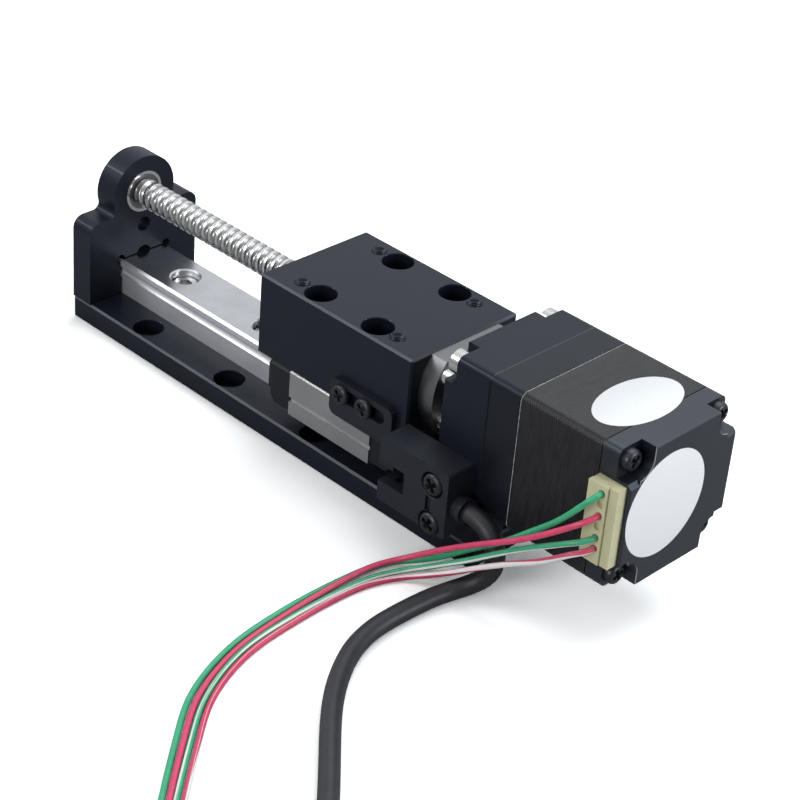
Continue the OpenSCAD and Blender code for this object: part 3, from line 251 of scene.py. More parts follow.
def lead_path(name, radius):
    """Lead whose turns climb in a column of one radius."""
    step = 1.2 * MM
    path = route_to_coil(name, LEAD_COIL_AT, radius, step)
    climb = LEAD_TURN_RISE / (2 * math.pi)
    sweep = (LEAD_LENGTH - path_length(path)) / math.hypot(radius, climb)
    z = path[-1].z
    count = math.ceil(sweep * radius / step)
    for i in range(1, count + 1):
        turn = sweep * i / count
        a = ENTRY + turn
        path.append(LEAD_COIL_AT + Vector((
            radius * math.cos(a), radius * math.sin(a), z + climb * turn)))
    return path


def ease(t):
    """Smooth step from 0 to 1."""
    t = min(max(t, 0.0), 1.0)
    return t * t * (3 - 2 * t)


# Lane, from the outside in, and layer of each turn of the cable's coil
CABLE_LANES = [0, 1, 2, 2, 1, 0, 0]
CABLE_LAYERS = [0, 0, 0, 1, 1, 1, 1]
CABLE_COIL_R = 24.8 * MM
LAYER_RISE = CABLE_D + 0.1 * MM


def cable_path():
    """Cable wound inwards in the lower layer and outwards in the upper one."""
    step = 1.6 * MM
    path = route_to_coil("sensor_cable", CABLE_COIL_AT, CABLE_COIL_R, step)
    z = path[-1].z
    left = CABLE_LENGTH - path_length(path)
    turn = 0.0
    while left > 0.2 * MM:
        turn += min(step, left) / (CABLE_COIL_R - CABLE_D)
        turns = turn / (2 * math.pi)
        whole = math.floor(turns)
        here, after = (min(i, len(CABLE_LANES) - 1) for i in (whole, whole + 1))
        # Each turn keeps its radius, and steps to the next one near its end
        shift = ease((turns - whole - 0.8) / 0.17)
        lane, layer = (places[here] + (places[after] - places[here]) * shift
                       for places in (CABLE_LANES, CABLE_LAYERS))
        radius = CABLE_COIL_R - CABLE_D * lane
        height = z + LAYER_RISE * layer
        a = ENTRY + turn
        point = CABLE_COIL_AT + Vector((radius * math.cos(a), radius * math.sin(a), height))
        left -= (point - path[-1]).length
        path.append(point)
    return path


def coil_tie(name, centre, low_r, high_r, height, angle, width):
    """Flat tie round the section of a coil, between two radii about its centre."""
    thick = 0.25 * MM
    floor_gap = 0.02 * MM
    out = Vector((math.cos(angle), math.sin(angle), 0))
    across = Vector((-math.sin(angle), math.cos(angle), 0))
    r = 1.2 * MM
    section = []
    for cx, cz, start in (
        (high_r - r, height - r, 0), (low_r + r, height - r, 90),
        (low_r + r, r, 180), (high_r - r, r, 270),
    ):
        for i in range(7):
            a = math.radians(start + 15 * i)
            section.append((cx, cz, math.cos(a), math.sin(a)))
    verts = []
    for cx, cz, ca, sa in section:
        for radius in (r, r + thick):
            for w in (-width / 2, width / 2):
                z = max(cz + sa * radius, floor_gap)
                verts.append(centre + out * (cx + ca * radius) + across * w + Vector((0, 0, z)))
    faces = []
    n = len(section)
    for i in range(n):
        a, b = 4 * i, 4 * ((i + 1) % n)
        faces += [(a, a + 1, b + 1, b), (a + 2, b + 2, b + 3, a + 3),
                  (a, b, b + 2, a + 2), (a + 1, a + 3, b + 3, b + 1)]
    return new_object(name, verts, faces, smooth=False)


lead_names = ["lead_red_white", "lead_green_white", "lead_red", "lead_green"]
LEAD_COIL_RADII_MM = [8, 9.2, 10.4, 11.6]
lead_pieces = []
lead_tie = coil_tie("lead_tie", LEAD_COIL_AT, low_r=7.2 * MM, high_r=12.4 * MM,
                    height=5.2 * MM, angle=math.radians(-60), width=2.2 * MM)
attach(lead_tie, "base")
for lead_name, lead_radius in zip(lead_names, LEAD_COIL_RADII_MM):
    path = lead_path(lead_name, lead_radius * MM)
    piece = tube(lead_name + "_wire", path, LEAD_D, sides=20, level=True)
    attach(piece, "base")
    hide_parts(lead_name)
    if lead_name == "lead_green":
        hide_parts("lead_coil")
    lead_pieces.append(piece)

cable_route = cable_path()
cable_piece = tube("sensor_cable_jacket", cable_route, CABLE_D, sides=24)
cable_tie = coil_tie("cable_tie", CABLE_COIL_AT, low_r=15.5 * MM, high_r=27 * MM,
                     height=8 * MM, angle=math.radians(-60), width=4 * MM)
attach(cable_tie, "base")
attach(cable_piece, "base")
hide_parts("sensor_cable", "sensor_cable_coil")


# ---------------------------------------------------------------- materials

def add_node(tree, kind, **settings):
    node = tree.nodes.new(kind)
    for key, value in settings.items():
        setattr(node, key, value)
    return node


def feed(tree, source, socket):
    """Give an input socket its source: an output socket, a colour or a number."""
    if isinstance(source, bpy.types.NodeSocket):
        tree.links.new(source, socket)
    elif isinstance(source, tuple):
        socket.default_value = (*source, 1)
    else:
        socket.default_value = source


class Material:
    """Small builder for a node material round one Principled shader."""

    def __init__(self, name):
        self.material = bpy.data.materials.new(name)
        self.material.use_nodes = True
        self.tree = self.material.node_tree
        self.shader = self.tree.nodes["Principled BSDF"]
        self.texture = self.node("ShaderNodeTexCoord")
        self.coords = self.texture.outputs["Object"]

    def link(self, source, socket):
        feed(self.tree, source, socket)

    def node(self, kind, **settings):
        return add_node(self.tree, kind, **settings)

    def metallic(self, value):
        self.link(value, self.shader.inputs["Metallic"])

    def specular(self, level, tint=(1, 1, 1)):
        self.link(level, self.shader.inputs["Specular IOR Level"])
        self.link(tint, self.shader.inputs["Specular Tint"])

    def math(self, operation, *values):
        """Result of a math node on sockets and plain numbers."""
        node = self.node("ShaderNodeMath", operation=operation)
        for value, socket in zip(values, node.inputs):
            self.link(value, socket)
        return node.outputs[0]

    def split(self, output):
        """X, Y and Z of the texture coordinate's Object or Normal output."""
        node = self.node("ShaderNodeSeparateXYZ")
        self.link(self.texture.outputs[output], node.inputs[0])
        return node.outputs

    def stretched(self, scale):
        """Object coordinates, scaled by a different amount along each axis."""
        mapping = self.node("ShaderNodeMapping")
        mapping.inputs["Scale"].default_value = scale
        self.link(self.coords, mapping.inputs["Vector"])
        return mapping.outputs["Vector"]

    def noise(self, scale, detail, stretch=None):
        texture = self.node("ShaderNodeTexNoise")
        texture.inputs["Scale"].default_value = scale
        texture.inputs["Detail"].default_value = detail
        texture.inputs["Roughness"].default_value = 0.6
        self.link(self.stretched(stretch) if stretch else self.coords, texture.inputs["Vector"])
        return texture.outputs["Fac"]

    def spread(self, value, low, high, centre=0.5, half=0.22):
        """Value that runs from low to high across centre, half to each side."""
        ramp = self.node("ShaderNodeMapRange")
        ramp.inputs["From Min"].default_value = centre - half
        ramp.inputs["From Max"].default_value = centre + half
        ramp.inputs["To Min"].default_value = low
        ramp.inputs["To Max"].default_value = high
        self.link(value, ramp.inputs["Value"])
        return ramp.outputs["Result"]

    def mix(self, factor, a, b):
        """Colour from a to b by a factor."""
        mixer = self.node("ShaderNodeMix", data_type="RGBA")
        # The node's colours are its inputs 6 and 7 and its output 2
        for value, i in ((factor, 0), (a, 6), (b, 7)):
            self.link(value, mixer.inputs[i])
        return mixer.outputs[2]

    def colour(self, value):
        self.link(value, self.shader.inputs["Base Color"])

    def rough(self, value):
        self.link(value, self.shader.inputs["Roughness"])

    def slanted(self):
        """1 on the straight chamfers between a level face and one across X or Y,
        and 0 on other faces, countersinks among them."""
        x, y, z = self.split("Normal")
        tilted = self.math("COMPARE", self.math("ABSOLUTE", z), 0.7071, 0.02)
        straight = self.math("COMPARE", self.math("MULTIPLY", x, y), 0, 0.03)
        return self.math("MULTIPLY", tilted, straight)

    def bump(self, height, distance, strength):
        bump = self.node("ShaderNodeBump")
        bump.inputs["Strength"].default_value = strength
        bump.inputs["Distance"].default_value = distance
        self.link(height, bump.inputs["Height"])
        self.link(bump.outputs["Normal"], self.shader.inputs["Normal"])


# Cool reflection of the dyed and painted blacks
BLACK_SHEEN = (0.8, 0.88, 1.0)
# Painted highlight: the lighter colour that the anodised chamfers take where light catches them
CHAMFER_HIGHLIGHT = (0.07, 0.074, 0.086)


def anodised(name, shade=(0.0055, 0.0066, 0.0125), rough=0.36):
    """Bead-blasted black anodised aluminium, with a painted highlight on its straight chamfers.
    """
    m = Material(name)
    m.specular(0.24, BLACK_SHEEN)
    cloud = m.noise(60, 4)
    grain = m.noise(9000, 2)
    light = tuple(c * 1.35 for c in shade)
    colour = m.mix(m.spread(cloud, 0, 1), shade, light)
    # Painted highlight: the straight chamfers are coloured lighter than the faces
    m.colour(m.mix(m.slanted(), colour, CHAMFER_HIGHLIGHT))
    m.rough(m.spread(cloud, rough - 0.04, rough + 0.06))
    m.bump(grain, 0.012 * MM, 0.5)
    return m.material


def steel(name, shade, rough, streak=(1, 1, 1), scale=4000, depth=0.004 * MM, metallic=1.0,
          side_rough=None):
    """Ground or rolled steel, with streaks drawn out along one axis. Its sides across Y may be
    rougher than its other faces, and then carry a painted highlight: a paler colour on them."""
    m = Material(name)
    m.metallic(metallic)
    lines = m.noise(scale, 3, stretch=streak)
    cloud = m.noise(90, 3)
    dark = tuple(c * 0.82 for c in shade)
    colour = m.mix(m.spread(cloud, 0, 1), dark, shade)
    finish = m.spread(lines, rough * 0.75, rough * 1.3)
    if side_rough:
        side = m.math("ABSOLUTE", m.split("Normal")["Y"])
        # Painted highlight: the sides across Y are coloured paler than the other faces
        pale = tuple(min(c * 1.4, 1) for c in shade)
        colour = m.mix(side, colour, pale)
        finish = m.math("MULTIPLY_ADD", side, m.math("SUBTRACT", side_rough, finish), finish)
    m.colour(colour)
    m.rough(finish)
    m.bump(lines, depth, 0.6)
    return m.material


def rolled_screw(name, axis_z):
    """Bright rolled steel, with painted shade: darker towards the bottom of its ball groove."""
    m = Material(name)
    m.metallic(1.0)
    shift = m.node("ShaderNodeVectorMath", operation="MULTIPLY_ADD")
    shift.inputs[1].default_value = (0, 1, 1)
    shift.inputs[2].default_value = (0, 0, -axis_z)
    m.link(m.coords, shift.inputs[0])
    radius = m.node("ShaderNodeVectorMath", operation="LENGTH")
    m.link(shift.outputs[0], radius.inputs[0])
    land = m.spread(radius.outputs["Value"], 0, 1, centre=2.68 * MM, half=0.22 * MM)
    lines = m.noise(2500, 3)
    # Painted shade: the groove is coloured darker than the land
    m.colour(m.mix(land, (0.3, 0.295, 0.295), (0.68, 0.67, 0.67)))
    m.rough(m.spread(lines, 0.2, 0.34))
    m.bump(lines, 0.001 * MM, 0.6)
    return m.material


def plastic(name, shade, rough, depth=0.01 * MM, specular=0.5):
    """Moulded plastic with a faint grain."""
    m = Material(name)
    black = max(shade) < 0.1
    m.specular(specular, BLACK_SHEEN if black else (1, 1, 1))
    cloud = m.noise(220, 3)
    fine = m.noise(2500, 2)
    light = tuple(min(c * 1.12 + 0.002, 1) for c in shade)
    m.colour(m.mix(m.spread(cloud, 0, 1), shade, light))
    m.rough(m.spread(fine, rough - 0.05, rough + 0.07))
    m.bump(fine, depth, 0.4)
    return m.material


LAMINATION_T = 0.5 * MM
# Width of the bare steel that shows at the front edge of the lamination stack
BARE_EDGE = 0.11 * MM


def laminations(name):
    """Stack of black painted sheets, seen edge on as fine lines across X."""
    m = Material(name)
    m.specular(0.3)
    wave = m.node("ShaderNodeTexWave", wave_type="BANDS", bands_direction="X")
    # A wave of scale 1 repeats every pi / 10
    wave.inputs["Scale"].default_value = math.pi / (10 * LAMINATION_T)
    wave.inputs["Distortion"].default_value = 0.25
    wave.inputs["Detail"].default_value = 1
    m.link(m.coords, wave.inputs["Vector"])
    cloud = m.noise(900, 4, stretch=(1, 0.25, 0.25))
    edge_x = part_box("stator_stack")[0].x + BARE_EDGE
    painted = m.spread(m.split("Object")["X"], 0, 1, centre=edge_x, half=0.01 * MM)
    paint = m.mix(m.spread(cloud, 0, 1), (0.0065, 0.0065, 0.0078), (0.019, 0.0187, 0.0215))
    bare = m.mix(m.spread(m.noise(1500, 3), 0, 1), (0.1, 0.1, 0.105), (0.7, 0.71, 0.73))
    m.colour(m.mix(painted, bare, paint))
    m.rough(m.spread(cloud, 0.28, 0.38))
    m.bump(wave.outputs["Fac"], 0.06 * MM, 0.7)
    return m.material


# Distance from the rear edge to the painted highlight band on the sides
RIM_HIGHLIGHT_INSET = 0.2 * MM


def painted_casting(name, specular=0.26, edge_x=None):
    """Black paint on a die casting, with a fine orange peel. A painted highlight, a pale band,
    runs along the sides next to their edge at edge_x."""
    m = Material(name)
    m.specular(specular, BLACK_SHEEN)
    peel = m.noise(2600, 2)
    cloud = m.noise(70, 3)
    colour = m.mix(m.spread(cloud, 0, 1), (0.0045, 0.0055, 0.01), (0.0075, 0.0085, 0.014))
    if edge_x is not None:
        # Painted highlight: a pale band on the side faces just short of the edge at edge_x
        at_edge = m.spread(m.split("Object")["X"], 0, 1, centre=edge_x - RIM_HIGHLIGHT_INSET,
                           half=0.03 * MM)
        on_side = m.math("LESS_THAN", m.split("Normal")["X"], 0.5)
        colour = m.mix(m.math("MULTIPLY", at_edge, on_side), colour, (0.36, 0.37, 0.4))
    m.colour(colour)
    m.rough(m.spread(cloud, 0.3, 0.38))
    m.bump(peel, 0.02 * MM, 0.45)
    return m.material


STRIPPED_END = 4 * MM


def wire(name, shade, tracer=None, width=0.16, start=0.0, twist=0.0):
    """PVC insulation, with an optional tracer stripe and a tinned end. The
    tracer is up to width turns either side of its middle, which starts at a
    place round the wire and moves by twist turns per metre."""
    m = Material(name)
    around = m.node("ShaderNodeAttribute", attribute_name="around").outputs["Fac"]
    along = m.node("ShaderNodeAttribute", attribute_name="along").outputs["Fac"]
    cloud = m.noise(500, 3)
    dark = tuple(c * 0.8 for c in shade)
    colour = m.mix(m.spread(cloud, 0, 1), dark, shade)
    if tracer:
        # Ten whole turns keep the sum above zero
        turned = m.math("MULTIPLY_ADD", along, -twist, around)
        off = m.math("PINGPONG", m.math("ADD", turned, 10 - start), 0.5)
        colour = m.mix(m.spread(off, 0, 1, centre=width, half=0.01), tracer, colour)
    stripped = m.spread(along, 0, 1, centre=LEAD_LENGTH - STRIPPED_END, half=0.1 * MM)
    m.colour(m.mix(stripped, colour, (0.6, 0.58, 0.54)))
    m.metallic(stripped)
    m.rough(m.spread(cloud, 0.3, 0.42))
    m.bump(cloud, 0.01 * MM, 0.3)
    return m.material


def jacket(name):
    """Soft black PVC jacket, slightly wavy over its cores."""
    m = Material(name)
    cloud = m.noise(300, 3)
    fine = m.noise(3500, 2)
    m.colour(m.mix(m.spread(cloud, 0, 1), (0.008, 0.008, 0.012), (0.016, 0.016, 0.021)))
    m.rough(m.spread(fine, 0.42, 0.56))
    m.bump(cloud, 0.06 * MM, 0.4)
    return m.material


def label_paper(name):
    """Plain white label stock."""
    m = Material(name)
    fibre = m.noise(3000, 4)
    m.colour(m.mix(m.spread(fibre, 0, 1), (0.8, 0.815, 0.83), (0.85, 0.86, 0.87)))
    m.rough(m.spread(fibre, 0.45, 0.6))
    m.bump(fibre, 0.006 * MM, 0.3)
    return m.material


ALONG_X = (0.02, 1, 1)
finishes = {
    "anodised": anodised("anodised"),
    "rail_steel": steel("ground_steel", (0.56, 0.56, 0.59), 0.2, streak=ALONG_X, scale=6000,
                        depth=0.001 * MM, side_rough=0.55),
    "guide_steel": steel("guide_steel", (0.44, 0.44, 0.45), 0.46, streak=ALONG_X, scale=6000,
                         depth=0.001 * MM),
    "screw_steel": rolled_screw("rolled_steel", node_centre("end_bearing_outer").z),
    "nut_steel": steel("nut_steel", (0.19, 0.19, 0.195), 0.36, scale=5000, depth=0.0005 * MM),
    "stainless": steel("stainless", (0.62, 0.62, 0.61), 0.22, scale=3500, depth=0.002 * MM),
    "fastener": steel("black_oxide", (0.045, 0.047, 0.056), 0.34, scale=3500, metallic=0.75),
    "bearing_steel": steel("bearing_steel", (0.6, 0.59, 0.58), 0.16, scale=5000,
                           depth=0.001 * MM),
    "cap_plastic": plastic("end_cap_plastic", (0.009, 0.01, 0.0135), 0.36, specular=0.2),
    "seal_rubber": plastic("seal_rubber", (0.01, 0.01, 0.01), 0.6, depth=0.02 * MM,
                           specular=0.3),
    "wiper_plastic": plastic("wiper_plastic", (0.68, 0.68, 0.64), 0.45),
    "flag_steel": anodised("black_zinc", (0.0115, 0.0125, 0.0175), 0.34),
    "sensor_plastic": plastic("sensor_plastic", (0.0125, 0.0138, 0.0195), 0.44,
                              depth=0.018 * MM, specular=0.26),
    "motor_paint": painted_casting("motor_paint"),
    "rear_paint": painted_casting("rear_cap_paint", specular=0.6,
                                  edge_x=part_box("motor_rear_cap")[1].x),
    "lamination": laminations("lamination_edges"),
    "copper": steel("enamelled_copper", (0.6, 0.25, 0.1), 0.3, scale=3000),
    "ivory_plastic": plastic("ivory_nylon", (0.54, 0.52, 0.33), 0.38),
    "pin_tin": steel("tinned_pins", (0.66, 0.65, 0.62), 0.28),
    "lead_green": wire("green_pvc", (0.045, 0.43, 0.21)),
    "lead_red": wire("red_pvc", (0.75, 0.065, 0.165)),
    "lead_green_white": wire("green_white_pvc", (0.045, 0.42, 0.21), tracer=(0.8, 0.82, 0.78),
                             width=0.06, start=0.6, twist=4),
    "lead_red_white": wire("red_white_pvc", (0.7, 0.06, 0.15), tracer=(0.85, 0.82, 0.82),
                           width=0.16, start=0.55, twist=11),
    "cable_jacket": jacket("cable_jacket"),
    "label": label_paper("label_paper"),
}
# Nodes whose finish differs from their record slot's common one
own_finish = {
    "guide_block": "guide_steel",
    "end_bearing_shields": "nut_steel",
    "motor_rear_cap": "rear_paint",
}


def dress(obj, finish):
    obj.data.materials.clear()
    obj.data.materials.append(finishes[finish])


slot_of = {s["node"]: s["material_slot"] for s in frame["record"]["subparts"]}
for name, obj in nodes.items():
    dress(obj, own_finish.get(name, slot_of[name]))

for piece, lead_name in zip(lead_pieces, lead_names):
    dress(piece, lead_name)
dress(cable_piece, "cable_jacket")
dress(lead_tie, "sensor_plastic")
dress(cable_tie, "sensor_plastic")


# --------------------------------------------------------------- ball screw

LEAD = 2 * MM
SCREW_R = 2.9 * MM
BALL_PATH_R = 3.1 * MM
GROOVE_R = 0.7 * MM
RIM = 0.05 * MM
THREAD_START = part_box("end_block")[1].x + 0.5 * MM
THREAD_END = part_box("motor_bracket")[0].x - 0.5 * MM
# The CAD groove is centred half a lead after its first row of points
FIRST_ROW = THREAD_START + 0.1 * MM
GROOVE_AT = FIRST_ROW + LEAD / 2


def groove_section():
    """Offsets along X within one lead, and radii there: the ball groove between
    its rounded rims, then the land."""
    half = math.sqrt(GROOVE_R ** 2 - (BALL_PATH_R - SCREW_R) ** 2)
    reach = math.asin(half / GROOVE_R)
    section = [(-half - RIM, SCREW_R)]
    steps = 14
    for i in range(steps + 1):
        a = reach * (2 * i / steps - 1)
        radius = BALL_PATH_R - GROOVE_R * math.cos(a)
        section.append((GROOVE_R * math.sin(a), min(radius, SCREW_R - RIM)))
    section.append((half + RIM, SCREW_R))
    return section


def smooth_screw():
    """The same screw with a finer groove: its rows of points follow the helix,
    and are cut off at both ends of the thread."""
    sides = 64
    journal_r, shaft_r, circlip_groove_r = 2 * MM, 2.5 * MM, 1.7 * MM
    neck_r = SCREW_R - 0.15 * MM
    chamfer = 0.3 * MM
    weld = 0.0005 * MM
    z_axis = node_centre("end_bearing_outer").z
    low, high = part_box("ball_screw")
    circlip_low, circlip_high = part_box("end_circlip")
    block_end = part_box("end_block")[1].x
    start = [(low.x, journal_r - chamfer), (low.x + chamfer, journal_r),
             (circlip_low.x, journal_r), (circlip_low.x, circlip_groove_r),
             (circlip_high.x, circlip_groove_r), (circlip_high.x, journal_r),
             (block_end, journal_r), (block_end, neck_r),
             (THREAD_START, neck_r), (THREAD_START, SCREW_R)]
    end = [(THREAD_END, SCREW_R), (THREAD_END, shaft_r),
           (high.x - chamfer, shaft_r), (high.x, shaft_r - chamfer)]
    section = groove_section()
    # Turns to spare at both ends are flattened onto the thread's end faces
    turns = math.ceil((THREAD_END - THREAD_START) / LEAD)
    rows = [(GROOVE_AT + turn * LEAD + offset, radius)
            for turn in range(-2, turns + 1) for offset, radius in section]
    mesh = bmesh.new()

    def point(x, r, k):
        a = 2 * math.pi * k / sides
        return mesh.verts.new((x, r * math.cos(a), z_axis + r * math.sin(a)))

    def skin(rings, shift):
        """Faces between rings; the last side joins the first, shift rings on."""
        for one, two in zip(rings, rings[1:]):
            for k in range(sides - 1):
                mesh.faces.new((one[k], one[k + 1], two[k + 1], two[k]))
        for i in range(len(rings) - 1 - shift):
            mesh.faces.new((rings[i][-1], rings[i + shift][0],
                            rings[i + 1 + shift][0], rings[i + 1][-1]))

    for ends in (start, end):
        rings = [[point(x, r, k) for k in range(sides)] for x, r in ends]
        skin(rings, 0)
        mesh.faces.new(rings[0] if ends is start else rings[-1])
    rings = []
    for row_x, row_r in rows:
        ring = []
        for k in range(sides):
            x = min(max(row_x + LEAD * k / sides, THREAD_START), THREAD_END)
            fade = min(1.0, (x - THREAD_START) / LEAD, (THREAD_END - x) / LEAD)
            ring.append(point(x, SCREW_R - (SCREW_R - row_r) * fade, k))
        rings.append(ring)
    skin(rings, len(section))
    bmesh.ops.remove_doubles(mesh, verts=mesh.verts, dist=weld)
    bmesh.ops.dissolve_degenerate(mesh, edges=mesh.edges, dist=weld)
    bmesh.ops.recalc_face_normals(mesh, faces=mesh.faces)
    obj = new_object("ball_screw_ground", [], [])
    mesh.to_mesh(obj.data)
    mesh.free()
    shade_by_angle(obj, 40)
    return obj


screw_piece = smooth_screw()
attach(screw_piece, "screw")
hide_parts("ball_screw")
dress(screw_piece, "screw_steel")


# ------------------------------------------------------------------ threads

TAP_PITCH = 0.45 * MM


def thread_ridge(name, places, top, bore_r, depth):
    """Fine helical ridges that stand for the threads inside tapped holes."""
    sides = 32
    ridge_h = 0.16 * MM
    ridge_w = 0.8 * TAP_PITCH
    lead_in = 0.9 * TAP_PITCH
    verts, faces = [], []
    steps = int((depth / TAP_PITCH - 2) * sides)
    for x, y in places:
        first = len(verts)
        for i in range(steps + 1):
            a = 2 * math.pi * i / sides
            z = top - lead_in - TAP_PITCH * i / sides
            for r, dz in ((bore_r, ridge_w / 2), (bore_r - ridge_h, 0), (bore_r, -ridge_w / 2)):
                verts.append((x + r * math.cos(a), y + r * math.sin(a), z + dz))
        for i in range(steps):
            a = first + 3 * i
            faces += [(a, a + 1, a + 4, a + 3), (a + 1, a + 2, a + 5, a + 4)]
    obj = new_object(name, verts, faces)
    shade_by_angle(obj, 30)
    return obj


taps = {m["name"]: m for m in frame["record"]["mounts"]}["carriage_taps"]
tap_x, tap_y, tap_z = taps["pos_m"]
tap_dx, tap_dy = (taps["dims"]["spacing_%s_mm" % axis] * MM / 2 for axis in "xy")
threads = thread_ridge(
    "carriage_tap_threads",
    [(tap_x + sx * tap_dx, tap_y + sy * tap_dy) for sx in (-1, 1) for sy in (-1, 1)],
    top=tap_z, bore_r=taps["dims"]["hole_r_mm"] * MM, depth=5 * MM)
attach(threads, "carriage")
dress(threads, "fastener")


# ------------------------------------------------------- cross recess screws

def cross_outline(reach, width, flare):
    """Corners of a cross, whose arms widen a little towards their ends."""
    corner = width / 2
    arm = [(corner, -corner), (reach * 0.96, -corner * flare), (reach, 0),
           (reach * 0.96, corner * flare)]
    points = []
    for quarter in range(4):
        turn = Matrix.Rotation(math.pi / 2 * quarter, 2)
        points += [turn @ Vector(p) for p in arm]
    return points


body_of = {node: body for body, names in frame["record"]["behaviour"]["bodies"].items()
           for node in names}
M25_R = 1.25 * MM


def pan_head_screws(name, node, head_r, head_h, outward, seats, turns):
    """Domed heads with a tapered cross recess, and their shanks. The seats are
    the middles of the heads' undersides."""
    sides = 48
    low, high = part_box(node)
    length = abs((high - low).dot(outward)) - head_h
    crown_r, brim_h = 0.66 * head_r, 0.4 * head_h
    recess_h, taper = 0.2 * head_h, 0.62
    profile = [(M25_R, -length), (M25_R, 0), (head_r, 0), (head_r, brim_h)]
    for degrees in (15, 30, 45, 60, 75):
        a = math.radians(degrees)
        profile.append((crown_r + (head_r - crown_r) * math.cos(a),
                        brim_h + (head_h - brim_h) * math.sin(a)))
    profile.append((crown_r, head_h))
    rim = cross_outline(reach=0.62 * head_r, width=0.32 * head_r, flare=1.45)
    unit_circle = [(math.cos(2 * math.pi * k / sides), math.sin(2 * math.pi * k / sides))
                   for k in range(sides)]
    crown_circle = [Vector((x, y, 0)) * crown_r for x, y in unit_circle]
    mouth_outline = [Vector((p.x, p.y, 0)) for p in rim]
    crown_faces = tessellate_polygon([crown_circle, mouth_outline])
    floor_faces = tessellate_polygon([mouth_outline])
    verts, faces = [], []
    for seat, turn in zip(seats, turns):
        place = Matrix.Translation(seat) @ outward.to_track_quat("Z", "Y").to_matrix().to_4x4()
        place = place @ Matrix.Rotation(math.radians(turn), 4, "Z")
        first = len(verts)
        for r, z in profile:
            verts += [place @ Vector((r * x, r * y, z)) for x, y in unit_circle]
        for i in range(len(profile) - 1):
            for k in range(sides):
                a, b = first + i * sides + k, first + i * sides + (k + 1) % sides
                faces.append((a, b, b + sides, a + sides))
        faces.append(tuple(first + k for k in reversed(range(sides))))
        crown = first + (len(profile) - 1) * sides
        mouth = len(verts)
        verts += [place @ Vector((p.x, p.y, head_h)) for p in rim]
        verts += [place @ Vector((p.x * taper, p.y * taper, recess_h)) for p in rim]
        n = len(rim)
        for k in range(n):
            a, b = mouth + k, mouth + (k + 1) % n
            faces.append((a, a + n, b + n, b))
        numbers = [crown + k for k in range(sides)] + [mouth + k for k in range(n)]
        faces += [tuple(numbers[i] for i in triangle) for triangle in crown_faces]
        faces += [tuple(mouth + n + i for i in triangle) for triangle in floor_faces]
    obj = new_object(name, verts, faces)
    mesh = bmesh.new()
    mesh.from_mesh(obj.data)
    bmesh.ops.recalc_face_normals(mesh, faces=mesh.faces)
    mesh.to_mesh(obj.data)
    mesh.free()
    shade_by_angle(obj, 35)
    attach(obj, body_of[node])
    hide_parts(node)
    dress(obj, "fastener")


NEAR_SIDE = Vector((0, -1, 0))
X, Y, Z = Vector((1, 0, 0)), Vector((0, 1, 0)), Vector((0, 0, 1))

low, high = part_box("flag_screws")
r, h = (high.z - low.z) / 2, 1 * MM
pan_head_screws("flag_screw_heads", "flag_screws", r, h, NEAR_SIDE,
                [Vector((x, low.y + h, low.z + r)) for x in (low.x + r, high.x - r)],
                turns=(28, 40))
low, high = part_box("sensor_screws")
r, h = (high.x - low.x) / 2, 1.9 * MM
pan_head_screws("sensor_screw_heads", "sensor_screws", r, h, NEAR_SIDE,
                [Vector((low.x + r, low.y + h, z)) for z in (low.z + r, high.z - r)],
                turns=(62, 35))
low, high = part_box("motor_screws")
r, h = 2 * MM, 1.6 * MM
pan_head_screws("motor_screw_heads", "motor_screws", r, h, X,
                [Vector((high.x - h, y, z))
                 for y in (low.y + r, high.y - r) for z in (low.z + r, high.z - r)],
                turns=(20, 50, 75, 35))


# ------------------------------------------------------------------- labels

def label(name, centre, u, v, ru, rv, normal):
    """Bare label: a thin ellipse with a bevelled edge, on a face."""
    n = 96
    thick = 0.06 * MM
    verts = []
    for scale, height in ((1.0, 0.0), (1.0, 0.6), (0.992, 1.0)):
        for k in range(n):
            a = 2 * math.pi * k / n
            verts.append(centre + u * (ru * scale * math.cos(a)) + v * (rv * scale * math.sin(a))
                         + normal * (thick * height))
    faces = []
    for ring in (0, 1):
        for k in range(n):
            a, b = ring * n + k, ring * n + (k + 1) % n
            faces.append((a, b, b + n, a + n))
    faces.append(tuple(2 * n + k for k in range(n)))
    obj = new_object(name, verts, faces)
    shade_by_angle(obj, 30)
    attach(obj, "base")
    dress(obj, "label")


rear_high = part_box("motor_rear_cap")[1]
stack_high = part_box("stator_stack")[1]
axis = node_centre("rotor")
label("rear_label", Vector((rear_high.x, axis.y - 3.7 * MM, axis.z + 0.9 * MM)),
      Y, Z, ru=10.2 * MM, rv=10.2 * MM, normal=X)
label("top_label", Vector((stack_high.x - 4.2 * MM, axis.y, stack_high.z)),
      X, Y, ru=5.7 * MM, rv=10.1 * MM, normal=Z)


# -------------------------------------------------------------------- stage

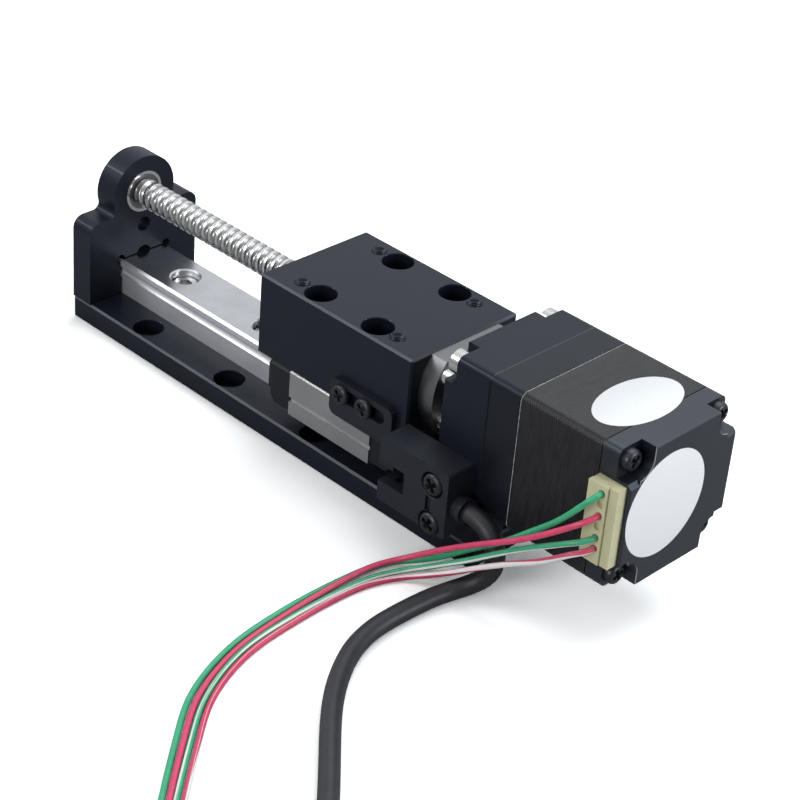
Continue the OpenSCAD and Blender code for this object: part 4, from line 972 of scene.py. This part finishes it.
def stage_material():
    """Matt floor, lighter to the camera than to the light on the object. Far
    from the object it is plain white to the camera."""
    m = Material("pale_floor")
    cloud = m.noise(3, 2)
    pale = m.mix(m.spread(cloud, 0, 1), (0.4, 0.405, 0.41), (0.44, 0.445, 0.45))
    white = m.mix(m.spread(cloud, 0, 1), (1.5, 1.5, 1.5), (1.56, 1.56, 1.56))
    lit = m.node("ShaderNodeBsdfDiffuse")
    camera_ray = m.node("ShaderNodeLightPath").outputs["Is Camera Ray"]
    m.link(m.mix(camera_ray, pale, white), lit.inputs["Color"])
    away = m.node("ShaderNodeVectorMath", operation="LENGTH")
    m.link(m.coords, away.inputs[0])
    far = m.spread(away.outputs["Value"], 0, 1, centre=0.55, half=0.15)
    surface = m.node("ShaderNodeMixShader")
    m.link(m.math("MULTIPLY", far, camera_ray), surface.inputs[0])
    m.link(lit.outputs[0], surface.inputs[1])
    m.link(m.node("ShaderNodeEmission").outputs[0], surface.inputs[2])
    m.link(surface.outputs[0], m.tree.nodes["Material Output"].inputs["Surface"])
    return m.material


FLOOR_HALF = 3
corners = [(-1, -1), (1, -1), (1, 1), (-1, 1)]
floor = new_object("floor", [(FLOOR_HALF * x, FLOOR_HALF * y, 0) for x, y in corners],
                   [(0, 1, 2, 3)])
floor.data.materials.append(stage_material())


def studio_world(light, dim, backdrop):
    """White to the camera. Mirrored, it is white towards the backdrop and dim
    on the opposite side. The light that it gives is even."""
    world = bpy.data.worlds.new("studio")
    world.use_nodes = True
    tree = world.node_tree
    toward = add_node(tree, "ShaderNodeVectorMath", operation="DOT_PRODUCT")
    feed(tree, add_node(tree, "ShaderNodeTexCoord").outputs["Generated"], toward.inputs[0])
    toward.inputs[1].default_value = backdrop.normalized()
    mirrored = add_node(tree, "ShaderNodeMapRange", interpolation_type="SMOOTHSTEP")
    mirrored.inputs["From Min"].default_value = -0.25
    mirrored.inputs["From Max"].default_value = 0.6
    mirrored.inputs["To Min"].default_value = dim
    feed(tree, toward.outputs["Value"], mirrored.inputs["Value"])
    paths = add_node(tree, "ShaderNodeLightPath").outputs
    strength = light
    for path, value in (("Is Glossy Ray", mirrored.outputs["Result"]), ("Is Camera Ray", 1)):
        # The node's numbers are its inputs 2 and 3 and its output 0
        switch = add_node(tree, "ShaderNodeMix")
        for source, i in ((paths[path], 0), (strength, 2), (value, 3)):
            feed(tree, source, switch.inputs[i])
        strength = switch.outputs[0]
    background = tree.nodes["Background"].inputs
    feed(tree, strength, background["Strength"])
    feed(tree, (0.95, 0.98, 1), background["Color"])
    return world


scene.world = studio_world(light=0.27, dim=0.28, backdrop=Vector((-0.44, 0.48, 0.75)))


def softbox(name, place, aim, size, watts, tint=(1, 1, 1)):
    data = bpy.data.lights.new(name, "AREA")
    data.shape = "RECTANGLE"
    data.size, data.size_y = size
    data.energy = watts
    data.color = tint
    obj = bpy.data.objects.new(name, data)
    scene.collection.objects.link(obj)
    obj.location = place
    direction = Vector(aim) - Vector(place)
    obj.rotation_euler = direction.to_track_quat("-Z", "Y").to_euler()


softbox("top_box", (0, 0.35, 0.9), aim=(0.02, 0, 0), size=(0.9, 0.7), watts=5.1,
        tint=(0.92, 0.965, 1))
softbox("front_box", (0.1, -0.9, 0.35), aim=(0.03, 0, 0.02), size=(0.5, 0.3), watts=3.6)
softbox("left_box", (-0.5, -0.46, 0.54), aim=(0.03, 0, 0.02), size=(0.36, 0.3), watts=1.5)
softbox("right_box", (0.75, 0.35, 0.3), aim=(0.06, 0, 0.02), size=(0.4, 0.4), watts=4.5,
        tint=(0.95, 0.97, 1))

scene.view_settings.view_transform = "Standard"
